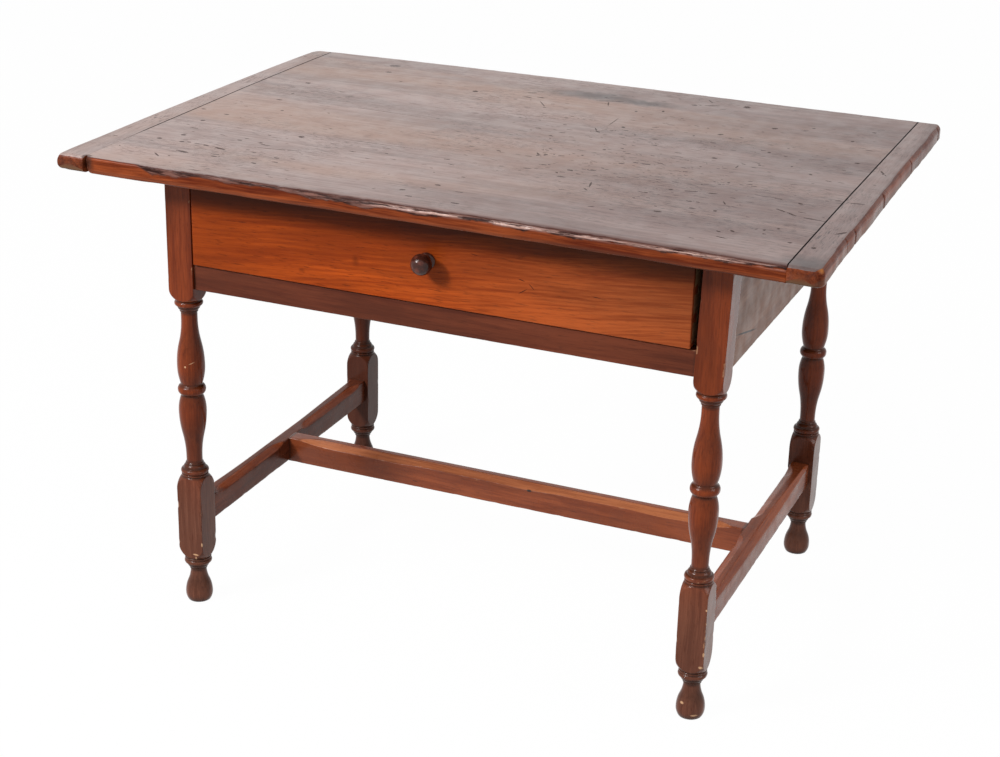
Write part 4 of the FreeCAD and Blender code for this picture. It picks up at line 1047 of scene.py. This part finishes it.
def leg_profile(sizes, half_diagonal):
    """Radius against height of one leg, in mm. Over the square blocks the radius lies outside the stock.

    From the floor up come foot, collar, low block, collar, swell, waist bead, swell, collar and high block.
    """
    swell, bead, neck = sizes.swell / MM, sizes.bead / MM, sizes.neck / MM
    pinch = bead - 4.6
    outside = half_diagonal + 6

    def block(low, high):
        return [(outside, low + 0.01), (outside, high)]

    def shoulder(root, level):
        bend = (bead - 1.1 + (half_diagonal - bead + 1.1) * 0.66, root + (level - root) * 0.41)
        return arc_between((bead - 1.1, root), bend, (half_diagonal, level))

    low_collar = collar(sizes, LOW_ROOT, -1, True)[::-1]
    foot = upright_arc((swell, FOOT_SWELL), (16.5, 0))[::-1] + ogee((swell, FOOT_SWELL), low_collar[0]) + low_collar
    waist_bead = arc_between((bead - 3.7, WAIST[0] + 1.5), (bead, sum(WAIST) / 2), (bead - 3.7, WAIST[1] - 1.5))
    shaft = (collar(sizes, MIDDLE_ROOT, 1, True) + [(neck, LOW_NECK)] + ogee((neck, LOW_NECK), (swell, LOW_SWELL))
             + upright_arc((swell, LOW_SWELL), (pinch, WAIST[0])) + [(pinch, WAIST[0])] + waist_bead
             + [(pinch, WAIST[1])] + upright_arc((swell, HIGH_SWELL), (pinch, WAIST[1]))[::-1]
             + ogee((swell, HIGH_SWELL), (neck, HIGH_NECK)) + collar(sizes, HIGH_ROOT, -1, False)[::-1])
    return np.array(foot + shoulder(LOW_ROOT, LOW_BLOCK[0]) + block(LOW_BLOCK[0], LOW_BLOCK[1] - 0.01)
                    + shoulder(MIDDLE_ROOT, LOW_BLOCK[1])[::-1] + shaft
                    + shoulder(HIGH_ROOT, HIGH_BLOCK[0]) + block(*HIGH_BLOCK))


# Pale nicks on the legs: centre, half sizes in mm and turn in degrees.
LEG_NICKS = (
    ((399, -297, 194), (4, 4, 3), (0, 0, 0)), ((399, -297, 170), (2, 3, 2), (0, 0, 0)),
    ((400, -297, 150), (1.5, 3, 3), (0, 0, 0)), ((400, -297, 128), (2, 3, 6), (0, 0, 0)),
    ((399, -297, 104), (2, 4, 4), (0, 0, 0)), ((396, -296, 84), (4, 5, 2.5), (0, 0, 0)),
    ((372, -296, 24), (4, 6, 2.5), (0, 0, 0)), ((390, -292, 8), (6, 8, 2), (0, 0, 0)),
    ((-361, -297, 98), (2, 3, 4), (0, 0, 0)), ((-372, -297, 80), (6, 4, 1.6), (0, 0, 0)),
    ((-372, -297, 73), (1.6, 4, 5), (0, 0, 0)), ((-367, -297, 380), (8, 8, 0.8), (0, -28, 0)),
    ((-378, -297, 373), (1.8, 6, 1.8), (0, 0, 0)),
)


def make_legs(sizes, colours):
    """Four turned legs, painted darker towards the back, the back left one most: painted shade."""
    colour = tuple(colours.leg)
    # Two copies of one varnish: the back left leg's is painted in deeper shade.
    lightly_shaded_varnish = varnished_wood("leg varnish", "z", colour, specular=0.15, roughness=0.14, nicks=LEG_NICKS,
                            dull=(0.12, 0.3), dark=(-0.1, 0.3, 0.2))
    deeply_shaded_varnish = varnished_wood("darkened leg varnish", "z", colour, specular=0.12, roughness=0.2,
                         dull=(0.12, 0.3), dark=(-0.1, 0.25, 0.68))
    for seed, word in enumerate(("front_left", "front_right", "back_left", "back_right")):
        make_leg(word, seed, sizes, deeply_shaded_varnish if word == "back_left" else lightly_shaded_varnish)


def make_leg(word, seed, sizes, material):
    """One leg. At each height its section is the smaller of the square stock and the lathe's circle.

    The two are joined by a smooth minimum, so that the blocks run into the turning over rounded shoulders.
    """
    node = f"{word}_leg"
    low, high = corners(node)
    half = (high[0] - low[0]) / 2
    profile = leg_profile(sizes, half / MM * math.sqrt(2) + 0.01)
    heights = leg_heights(profile[:, 1]) * MM
    reach = np.interp(heights, profile[:, 1] * MM, profile[:, 0] * MM)[:, None]
    angles = leg_angles()
    directions = np.stack([np.cos(angles), np.sin(angles)], axis=-1)
    square = half / np.abs(directions).max(axis=-1)
    corner_cut = (half * math.sqrt(2) - sizes.arris) / np.cos((angles + math.pi / 4) % (math.pi / 2) - math.pi / 4)
    stock = soft_minimum(square, corner_cut, 0.7 * MM)[None, :]
    radius = soft_minimum(stock, reach, 0.35 * MM)
    flat = ((low + high) / 2)[:2] + radius[..., None] * directions
    rings = np.concatenate([flat, np.broadcast_to(heights[:, None, None], (*radius.shape, 1))], axis=-1)
    if word == "front_right":
        foot, head = HIGH_BLOCK
        rings[..., 0] += LEAN * np.clip((heights - foot * MM) / ((head - foot) * MM), 0, 1)[:, None]

    at_corner = smooth_step(np.broadcast_to(stock, radius.shape), half * 1.27, half * 1.37)
    in_block = smooth_step(reach - stock, 0, 1 * MM)
    rubbed = np.clip(ripple(rings, 22 * MM, 40 + seed) - 0.5, 0, 1) * at_corner * in_block
    wear = 0.7 * MM * rubbed + 0.08 * MM * ripple(rings, 60 * MM, 60 + seed)
    rings[..., :2] -= directions * wear[..., None]
    levels, *reliefs = lathe_reliefs(profile)
    hollow, crest = (np.interp(heights, levels, relief)[:, None] * (1 - in_block) for relief in reliefs)
    # Arrises and crests of the turning: worn, and painted as catching the light.
    edge = np.maximum(at_corner * in_block * (0.4 + rubbed), crest * 0.5)
    skin(f"turned_{word}_leg", rings, {"edge": edge, "hollow": hollow}, material, "leg_wood", "table", node)


def soft_minimum(first, second, blend_width):
    """Smaller of two values, rounded where they cross: their mean less half the root of their squared gap."""
    gap = first - second
    return (first + second - np.sqrt(gap * gap + blend_width * blend_width)) / 2


def leg_heights(levels):
    """Rows of a leg in mm: every 0.6 mm in the collars and 2 mm elsewhere, with the profile's own levels."""
    low, high = levels.min(), levels.max()
    fine = [np.arange(start, end, 0.6) for start, end in ((48, 93), (181, 224), (324, 345), (446, 488))]
    rows = np.concatenate([np.arange(low, high, 2.0), [high], *fine])
    rows = np.unique(np.round(rows, 2))
    return rows[np.concatenate([[True], np.diff(rows) > 0.15])]


def leg_angles():
    """Columns of a leg: four equal quarters, each with more columns near its corner."""
    quarter = np.linspace(-1, 1, 30)[:-1]
    bent = (0.35 * quarter + 0.65 * quarter ** 3) * math.pi / 4
    return np.concatenate([bent + math.pi / 4 + turn * math.pi / 2 for turn in range(4)])


def lathe_reliefs(profile):
    """Heights in metres, and from 0 to 1 how hollow and how proud the turning is there.

    Hollow is how far the radius lies below the largest within 4 mm, over 2.4 mm, and proud how far it lies above
    the mean within 6 mm, over 1.2 mm. The square blocks count as 21 mm.
    """
    levels = np.arange(0, HIGH_BLOCK[1], 0.5)
    radius = np.interp(levels, profile[:, 1], np.minimum(profile[:, 0], 21))
    largest = np.max([np.roll(radius, shift) for shift in range(-8, 9)], axis=0)
    mean = np.mean([np.roll(radius, shift) for shift in range(-12, 13)], axis=0)
    return levels * MM, np.clip((largest - radius) / 2.4, 0, 1), np.clip((radius - mean) / 1.2, 0, 1)


# Length of the rails' tenons and of the medial stretcher's stubs, how far the dressed pieces still run into their
# mortises, and how far the chamfers stay clear of what they stop at.
TENON = 19 * MM
STUB = 15 * MM
OVERLAP = 2 * MM
MARGIN = 14 * MM
# Columns on the foot, the high face, its chamfer, the top, the low chamfer and the low face of a stretcher.
SIDE_COLUMNS = (8, 10, 8, 8, 8, 10)
# Dark marks on the medial stretcher: centre, half sizes in mm and turn in degrees.
MEDIAL_MARKS = (((37, -21, 150), (5, 6, 2), (0, 0, 0)), ((-150, -21, 128), (6, 3, 0.7), (0, 4, 0)))


def make_stretchers(sizes, colours):
    """Three stretchers with stopped chamfers.

    The section has six sides: foot, two faces, two planed-off corners and the top. How far a corner is planed
    off is an array over the places, which falls to nothing along a parabola at each end of a chamfer.
    """
    colour = tuple(colours.stretcher)
    # The left and right stretchers take a darker and a lighter copy of one varnish, with darker and lighter planed
    # corners, and darken towards the back: painted shade and light for where each lies.
    left_wood = varnished_wood("left stretcher varnish", "y", tint(colour, 0.95), specular=0.12, roughness=0.26,
                               dark=(-0.4, 0.1, 0.55), planed=(0.22, 0.052, 0.02))
    right_wood = varnished_wood("right stretcher varnish", "y", tint(colour, 1.15), specular=0.12, roughness=0.26,
                                dark=(0.05, 0.35, 0.22), planed=(0.29, 0.066, 0.022))
    long_wood = varnished_wood("medial stretcher varnish", "x", tint(colour, 1.35), specular=0.3, roughness=0.26,
                               cracks=MEDIAL_MARKS, planed=(0.43, 0.14, 0.06))
    medial_low, medial_high = corners("medial_stretcher")
    half, middle = (medial_high[1] - medial_low[1]) / 2, (medial_high[1] + medial_low[1]) / 2
    for word, material, seed in (("left", left_wood, 80), ("right", right_wood, 81)):
        low, high = corners(f"{word}_stretcher")
        low[1] += TENON
        high[1] -= TENON
        places = np.linspace(low[1] - OVERLAP, high[1] + OVERLAP, 340)
        inner = np.maximum(chamfer_share(places, low[1] + MARGIN, middle - half - MARGIN, 30 * MM),
                           chamfer_share(places, middle + half + MARGIN, high[1] - MARGIN, 30 * MM))
        bow = 0.45 + 0.55 * (1 - ((places - middle) / (high[1] - middle)) ** 2) + 0.04 * np.sin(places / (31 * MM))
        outer = np.maximum(bow, 0) * chamfer_share(places, low[1], high[1], 12 * MM)
        cuts = [(11 * MM * inner, 6 * MM * inner), (8 * MM * outer, 9 * MM * outer)]
        stretcher(f"chamfered_{word}_stretcher", f"{word}_stretcher", 1, places, low, high,
                  cuts if word == "left" else cuts[::-1], sizes, material, seed)
    medial_low[0] += STUB
    medial_high[0] -= STUB
    places = np.linspace(medial_low[0] - OVERLAP, medial_high[0] + OVERLAP, 480)
    front = chamfer_share(places, medial_low[0] + MARGIN, medial_high[0] - MARGIN, 40 * MM)
    uneven = 1 + 0.16 * np.sin(places / (38 * MM) + 1) + 0.1 * np.sin(places / (17 * MM))
    cuts = [(0 * places, 0 * places), (14 * MM * front, 6 * MM * front * uneven)]
    stretcher("chamfered_medial_stretcher", "medial_stretcher", 0, places, medial_low, medial_high,
              cuts, sizes, long_wood, 90)


def chamfer_share(places, start, end, runout):
    """1 along a chamfer, and 1 less the square of the way left to its full depth in the run-outs."""
    left = 1 - np.clip(np.minimum(places - start, end - places) / runout, 0, 1)
    return 1 - left ** 2


def stretcher(name, node, along, places, low, high, cuts, sizes, material, seed):
    """One stretcher. cuts are the (width, drop) of the planed-off corner on its high and its low side.

    A column lies its share of the way along one of the six sides, closer to the others near a corner. Wear
    sinks it against the sides' outward direction, which is averaged over five columns to run round the corners.
    """
    across = 1 - along
    (high_width, high_drop), (low_width, low_drop) = [
        (np.maximum(width, sizes.arris), np.maximum(drop, sizes.arris)) for width, drop in cuts]
    keep = np.ones_like(places)
    low_face, high_face, foot, top = low[across] * keep, high[across] * keep, low[2] * keep, high[2] * keep
    corner_points = np.stack([np.stack(point, axis=-1) for point in (
        (low_face, foot), (high_face, foot), (high_face, top - high_drop), (high_face - high_width, top),
        (low_face + low_width, top), (low_face, top - low_drop))], axis=1)
    side = np.repeat(np.arange(6), SIDE_COLUMNS)
    share = np.concatenate([0.5 - 0.5 * np.cos(np.linspace(0, math.pi, count, endpoint=False))
                            for count in SIDE_COLUMNS])
    first, second = corner_points[:, side], corner_points[:, (side + 1) % 6]
    run = second - first
    points = first + run * share[None, :, None]
    outward = np.stack([run[..., 1], -run[..., 0]], axis=-1)
    outward = outward / np.maximum(np.linalg.norm(outward, axis=-1, keepdims=True), 1e-9)
    spread = sum(np.roll(outward, shift, axis=1) for shift in (-2, -1, 0, 1, 2))
    spread = spread / np.linalg.norm(spread, axis=-1, keepdims=True)
    arris = np.clip(1 - np.minimum(share, 1 - share) / 0.1, 0, 1)[None, :] * keep[:, None]
    rings = to_space(points, places, along)
    bumps = np.clip(ripple(rings, 24 * MM, seed) - 0.3, 0, 1)
    wear = (0.3 + 0.4 * bumps) * MM * arris ** 2 + 0.1 * MM * (0.5 + 0.5 * ripple(rings, 90 * MM, seed + 3))
    worn = points - spread * wear[..., None]
    hollow = 1 - smooth_step(distance_from_ends(places, len(share)), 2 * MM, 6 * MM)
    planed = sum((side == number)[None, :] * smooth_step(width, 2 * MM, 5 * MM)[:, None]
                 for number, width in ((2, high_width), (4, low_width)))
    attributes = {"edge": arris * (0.4 + bumps), "hollow": hollow, "planed": planed}
    skin(name, to_space(worn, places, along), attributes, material, "stretcher_wood", "table", node)


# Cracks in the right apron: centre, half sizes in mm and turn in degrees.
APRON_CRACKS = (((397, -198, 524), (5, 62, 1.7), (-13.5, 0, 0)), ((397, -252, 575), (5, 1.0, 60), (0, 0, 0)))


def make_frame_boards(sizes, colours):
    """Drawer rail and the three aprons."""
    rail = varnished_wood("rail varnish", "x", tuple(colours.rail), specular=0.16, roughness=0.38)
    end = varnished_wood("end apron varnish", "y", tuple(colours.apron), specular=0.25, roughness=0.42,
                         contrast=0.2, cracks=APRON_CRACKS)
    back = varnished_wood("back apron varnish", "x", tuple(colours.apron), specular=0.4, roughness=0.45,
                          contrast=0.35)
    fixed_board("drawer_rail", 0, rail, "rail_wood", sizes, 21)
    fixed_board("left_apron", 1, end, "apron_wood", sizes, 22)
    fixed_board("right_apron", 1, end, "apron_wood", sizes, 23)
    fixed_board("back_apron", 0, back, "apron_wood", sizes, 24)


def fixed_board(node, along, material, slot, sizes, seed):
    """A board between two legs, its tenons left out of sight: a rounded section carried along it."""
    low, high = corners(node)
    low[along] += TENON - OVERLAP
    high[along] -= TENON - OVERLAP
    across = 1 - along
    columns = section_columns((16, 5, 16, 5), (6, 6, 6, 6))
    places = np.linspace(low[along], high[along], int((high[along] - low[along]) / (3 * MM)))
    keep = np.ones_like(places)
    limits = [low[across] * keep, high[across] * keep, low[2] * keep, high[2] * keep]
    points, outward = board_section(*limits, [sizes.arris * keep] * 4, columns)
    hollow = 1 - smooth_step(distance_from_ends(places, points.shape[1]), 2 * MM, 4 * MM)
    worn_board(f"planed_{node}", node, points, outward, places, along, columns, hollow, material, slot,
               "table", seed)


def worn_board(name, node, points, outward, places, along, columns, hollow, material, slot, body, seed):
    """Sink a board's section by slow waves all over and by spots of wear on its arrises, and make the piece."""
    arris = corner_weight(columns)
    rings = to_space(points, places, along)
    bumps = np.clip(ripple(rings, 26 * MM, seed) - 0.4, 0, 1)
    wear = 0.5 * MM * bumps * arris + 0.12 * MM * (0.5 + 0.5 * ripple(rings, 110 * MM, seed + 7))
    worn = to_space(points - outward * wear[..., None], places, along)
    attributes = {"edge": arris * (0.4 + bumps), "hollow": hollow}
    skin(name, worn, attributes, material, slot, body, node)


# Scratches and knots of the drawer front: centre, half sizes in mm and turn in degrees.
DRAWER_SCRATCHES = (
    ((128, -296, 567), (9, 4, 0.6), (0, -34, 0)), ((140, -296, 575), (7, 4, 0.6), (0, 43, 0)),
    ((126, -296, 582), (6, 4, 0.7), (0, 12, 0)), ((60, -296, 606), (7, 4, 0.5), (0, 8, 0)),
    ((228, -296, 575), (8, 4, 0.5), (0, 4, 0)), ((-280, -296, 600), (9, 4, 0.5), (0, -6, 0)))
DRAWER_KNOTS = (((-190, -296, 546), (7, 8, 4.5), (0, 0, 0)), ((-110, -296, 572), (7, 8, 12), (0, 0, 0)))


def make_drawer(sizes, colours):
    """Drawer front with its worn arrises, the knob, and the bare box behind them."""
    # The drawer front carries painted shadow of the top's overhang near its upper edge.
    wood = varnished_wood("drawer varnish", "x", tuple(colours.drawer), specular=0.1, roughness=0.34, contrast=0.3,
                          pores=0.8, rings=1.2, slope=5.0, sides=0.5, right_colour=(0.32, 0.088, 0.031),
                          overhang_shadow=(0.6, 0.636, 0.78), knots=DRAWER_KNOTS, cracks=DRAWER_SCRATCHES)
    low, high = corners("drawer_front")
    inset, end_round = 0.2 * MM, 1.2 * MM
    columns = section_columns((24, 5, 24, 5), (6, 6, 6, 6))
    places = stations(low[0] + inset, high[0] - inset, 3 * MM, end_round)
    pull = end_inset(places, low[0] + inset, high[0] - inset, end_round)
    rounds = [np.maximum(end_round - pull, 0.1 * MM)] * 4
    points, outward = board_section(low[1] + pull, high[1] - pull, low[2] + pull, high[2] - pull, rounds, columns)
    worn_board("worn_drawer_front", "drawer_front", points, outward, places, 0, columns, np.zeros(points.shape[:2]),
               wood, "drawer_front_wood", "drawer", 33)
    make_knob(colours)
    inner = bare_wood("bare wood, along", "y", tuple(colours.bare))
    cross = bare_wood("bare wood, across", "x", tuple(colours.bare))
    for node in ("drawer_left_side", "drawer_right_side"):
        dress(node, inner)
    for node in ("drawer_back", "drawer_bottom"):
        dress(node, cross)
    dress("drawer_nails", nail_iron("nail iron"))


# The knob's profile in mm: distance out of the drawer front, and radius.
KNOB_PROFILE = (
    (-4, 6), (0, 11), (1.3, 11.5), (2.6, 10.2), (4.2, 8), (6, 7), (9, 9.6), (12.5, 12.6), (16, 14.2), (19, 14.5),
    (22, 14.1), (25, 12.9), (27.5, 11.1), (29.6, 8.8), (31, 6.4), (31.8, 3.4), (32, 0.3),
)
KNOB_ROWS, KNOB_COLUMNS = 90, 72


def make_knob(colours):
    """Turned knob: its profile, smoothed three times by a quarter of each neighbour, spun round."""
    low, high = corners("drawer_knob")
    face = corners("drawer_front")[0][1]
    middle = (low + high) / 2
    rows = np.linspace(0, len(KNOB_PROFILE) - 1, KNOB_ROWS)
    out, radius = (np.interp(rows, np.arange(len(KNOB_PROFILE)), line * MM) for line in np.array(KNOB_PROFILE).T)
    for line in (out, radius):
        for _ in range(3):
            line[1:-1] = (line[:-2] + 2 * line[1:-1] + line[2:]) / 4
    turn = np.linspace(0, TAU, KNOB_COLUMNS, endpoint=False)
    rings = np.stack([middle[0] + radius[:, None] * np.cos(turn),
                      np.broadcast_to((face - out)[:, None], (KNOB_ROWS, KNOB_COLUMNS)),
                      middle[2] + radius[:, None] * np.sin(turn)], axis=-1)
    skin("turned_knob", rings, {}, black_knob("ebonised knob", tuple(colours.knob)), "knob_wood", "drawer",
         "drawer_knob")


def make_inner_woodwork(colours):
    """Finish of the runners, guides, stops and glue blocks, whose CAD shapes stay."""
    along_y = bare_wood("bare wood, front to back", "y", tuple(colours.bare))
    along_x = bare_wood("bare wood, side to side", "x", tuple(colours.bare))
    for side in ("left", "right"):
        for word in ("runner", "guide", "front_block", "back_block"):
            dress(f"{side}_{word}", along_y)
        dress(f"{side}_drawer_stop", along_x)
        dress(f"back_{side}_block", along_x)


# ---------------------------------------------------------------------------------------------- stage

SENSOR_WIDTH = 36
LENS_SHIFT = (0.0073, 0.0036)
# Name, place and width of each lamp, and what all of them aim at.
LAMPS = (("key", (-2.4, -3.3, 2.9), 0.8), ("soft", (-1.5, -1.9, 2.7), 1.7), ("fill", (3.2, -0.3, 2.2), 1.8))
LAMP_AIM = (0, 0, 0.35)
FLOOR_RADIUS = 14
FLOOR_DROP = 0.5 * MM
FLOOR_LIFT = 0.985
FLOOR_COLUMNS = 96


def make_stage(stage):
    """Camera, three lamps, even sky and a white floor that keeps the table's shadow."""
    scene = bpy.context.scene
    scene.view_settings.view_transform = "Standard"
    add_camera(scene, stage)
    for name, place, size in LAMPS:
        add_lamp(name, place, size, getattr(stage, name))
    add_sky(scene, stage.sky)
    add_floor()


def add_camera(scene, stage):
    """Camera at its place, turned by yaw to the left, pitch down and roll."""
    camera = bpy.data.cameras.new("camera")
    camera.lens = stage.lens
    camera.sensor_width = SENSOR_WIDTH
    camera.shift_x, camera.shift_y = LENS_SHIFT
    camera.clip_end = 50
    yaw, pitch, roll = stage.yaw, stage.pitch, stage.roll
    forward = Vector((-math.sin(yaw) * math.cos(pitch), math.cos(yaw) * math.cos(pitch), -math.sin(pitch)))
    right = Vector((math.cos(yaw), math.sin(yaw), 0))
    up = right.cross(forward)
    rolled_right = right * math.cos(roll) + up * math.sin(roll)
    rolled_up = up * math.cos(roll) - right * math.sin(roll)
    place = Matrix((rolled_right, rolled_up, -forward)).transposed().to_4x4()
    place.translation = Vector(stage.camera)
    holder = bpy.data.objects.new("camera", camera)
    holder.matrix_world = place
    scene.collection.objects.link(holder)
    scene.camera = holder


def add_lamp(name, place, size, power):
    """Round lamp at a place, aimed at the middle of the table."""
    lamp = bpy.data.lights.new(name, "AREA")
    lamp.shape = "DISK"
    lamp.size = size
    lamp.energy = power
    holder = bpy.data.objects.new(name, lamp)
    aim = Vector(LAMP_AIM) - Vector(place)
    holder.matrix_world = Matrix.Translation(place) @ aim.to_track_quat("-Z", "Y").to_matrix().to_4x4()
    bpy.context.scene.collection.objects.link(holder)


def seen_directly(tree):
    """1 for rays that the eye, a mirror or a glass sends, and 0 for the light that falls on things."""
    path = tree.nodes.new("ShaderNodeLightPath")
    seen = path.outputs["Is Camera Ray"]
    for kind in ("Is Glossy Ray", "Is Transmission Ray"):
        either = tree.nodes.new("ShaderNodeMath")
        either.operation = "MAXIMUM"
        tree.links.new(seen, either.inputs[0])
        tree.links.new(path.outputs[kind], either.inputs[1])
        seen = either.outputs[0]
    return seen


def add_sky(scene, strength):
    """Even light on things, and plain white where the eye or a mirror meets the sky itself."""
    world = bpy.data.worlds.new("studio")
    world.use_nodes = True
    tree = world.node_tree
    background = tree.nodes["Background"]
    background.inputs["Color"].default_value = (1, 1, 1, 1)
    lift = tree.nodes.new("ShaderNodeMapRange")
    lift.inputs["To Min"].default_value = strength
    lift.inputs["To Max"].default_value = 1.0
    tree.links.new(seen_directly(tree), lift.inputs["Value"])
    tree.links.new(lift.outputs[0], background.inputs["Strength"])
    scene.world = world


def add_floor():
    """Round white floor. The eye sees it lifted most of the way to white, which leaves a faint shadow."""
    recipe = Recipe("white floor")
    seen = seen_directly(recipe.tree)
    diffuse = recipe.add("ShaderNodeBsdfDiffuse", {"Color": recipe.mix(seen, (0.5, 0.5, 0.5), (0.95, 0.95, 0.95))})
    glow = recipe.add("ShaderNodeEmission", {"Color": (1, 1, 1), "Strength": 1.0})
    both = recipe.add("ShaderNodeMixShader", {0: recipe.times(seen, FLOOR_LIFT), 1: diffuse, 2: glow})
    turn = np.linspace(0, TAU, FLOOR_COLUMNS, endpoint=False)
    rim = np.stack([FLOOR_RADIUS * np.cos(turn), FLOOR_RADIUS * np.sin(turn), 0 * turn - FLOOR_DROP], axis=-1)
    mesh = bpy.data.meshes.new("floor")
    mesh.from_pydata(rim.tolist(), [], [list(range(FLOOR_COLUMNS))])
    floor = bpy.data.objects.new("floor", mesh)
    bpy.context.scene.collection.objects.link(floor)
    floor.data.materials.append(recipe.finish(both))


# ------------------------------------------------------------------------------------------- operators

class TABLE_OT_top(bpy.types.Operator):
    """Make the worn top board and its two breadboard ends"""

    bl_idname = "table.top"
    bl_label = "Top"

    def execute(self, context):
        make_top(context.scene.table_sizes, context.scene.table_colours)
        return {"FINISHED"}


class TABLE_OT_legs(bpy.types.Operator):
    """Turn the four legs"""

    bl_idname = "table.legs"
    bl_label = "Legs"

    def execute(self, context):
        make_legs(context.scene.table_sizes, context.scene.table_colours)
        return {"FINISHED"}


class TABLE_OT_stretchers(bpy.types.Operator):
    """Make the three chamfered stretchers"""

    bl_idname = "table.stretchers"
    bl_label = "Stretchers"

    def execute(self, context):
        make_stretchers(context.scene.table_sizes, context.scene.table_colours)
        return {"FINISHED"}


class TABLE_OT_frame_boards(bpy.types.Operator):
    """Make the drawer rail and the aprons"""

    bl_idname = "table.frame_boards"
    bl_label = "Rail and aprons"

    def execute(self, context):
        make_frame_boards(context.scene.table_sizes, context.scene.table_colours)
        return {"FINISHED"}


class TABLE_OT_drawer(bpy.types.Operator):
    """Make the drawer front and knob and finish the drawer box"""

    bl_idname = "table.drawer"
    bl_label = "Drawer"

    def execute(self, context):
        make_drawer(context.scene.table_sizes, context.scene.table_colours)
        return {"FINISHED"}


class TABLE_OT_inner_woodwork(bpy.types.Operator):
    """Finish the runners, guides, stops and glue blocks"""

    bl_idname = "table.inner_woodwork"
    bl_label = "Inner woodwork"

    def execute(self, context):
        make_inner_woodwork(context.scene.table_colours)
        return {"FINISHED"}


class TABLE_OT_stage(bpy.types.Operator):
    """Set up the camera, lamps, sky and floor"""

    bl_idname = "table.stage"
    bl_label = "Stage"

    def execute(self, context):
        make_stage(context.scene.table_stage)
        return {"FINISHED"}


class TABLE_PT_panel(bpy.types.Panel):
    """Lists the steps that dress the table"""

    bl_idname = "TABLE_PT_panel"
    bl_label = "Tavern table"
    bl_space_type = "VIEW_3D"
    bl_region_type = "UI"
    bl_category = "Table"

    def draw(self, context):
        for step in STEPS:
            self.layout.operator(step.bl_idname)
        for group in (context.scene.table_sizes, context.scene.table_colours, context.scene.table_stage):
            column = self.layout.column()
            for setting in group.__annotations__:
                column.prop(group, setting)


GROUPS = (TableSizes, TableColours, TableStage)
STEPS = (TABLE_OT_stage, TABLE_OT_top, TABLE_OT_legs, TABLE_OT_stretchers, TABLE_OT_frame_boards,
         TABLE_OT_drawer, TABLE_OT_inner_woodwork)


def register():
    """Register the classes and hang the settings on the scene."""
    for part in (*GROUPS, *STEPS, TABLE_PT_panel):
        bpy.utils.register_class(part)
    bpy.types.Scene.table_sizes = PointerProperty(type=TableSizes)
    bpy.types.Scene.table_colours = PointerProperty(type=TableColours)
    bpy.types.Scene.table_stage = PointerProperty(type=TableStage)


def unregister():
    """Take both away again."""
    del bpy.types.Scene.table_sizes
    del bpy.types.Scene.table_colours
    del bpy.types.Scene.table_stage
    for part in reversed((*GROUPS, *STEPS, TABLE_PT_panel)):
        bpy.utils.unregister_class(part)


def main():
    register()
    bpy.ops.table.stage()
    bpy.ops.table.top()
    bpy.ops.table.legs()
    bpy.ops.table.stretchers()
    bpy.ops.table.frame_boards()
    bpy.ops.table.drawer()
    bpy.ops.table.inner_woodwork()


if __name__ == "__main__":
    main()
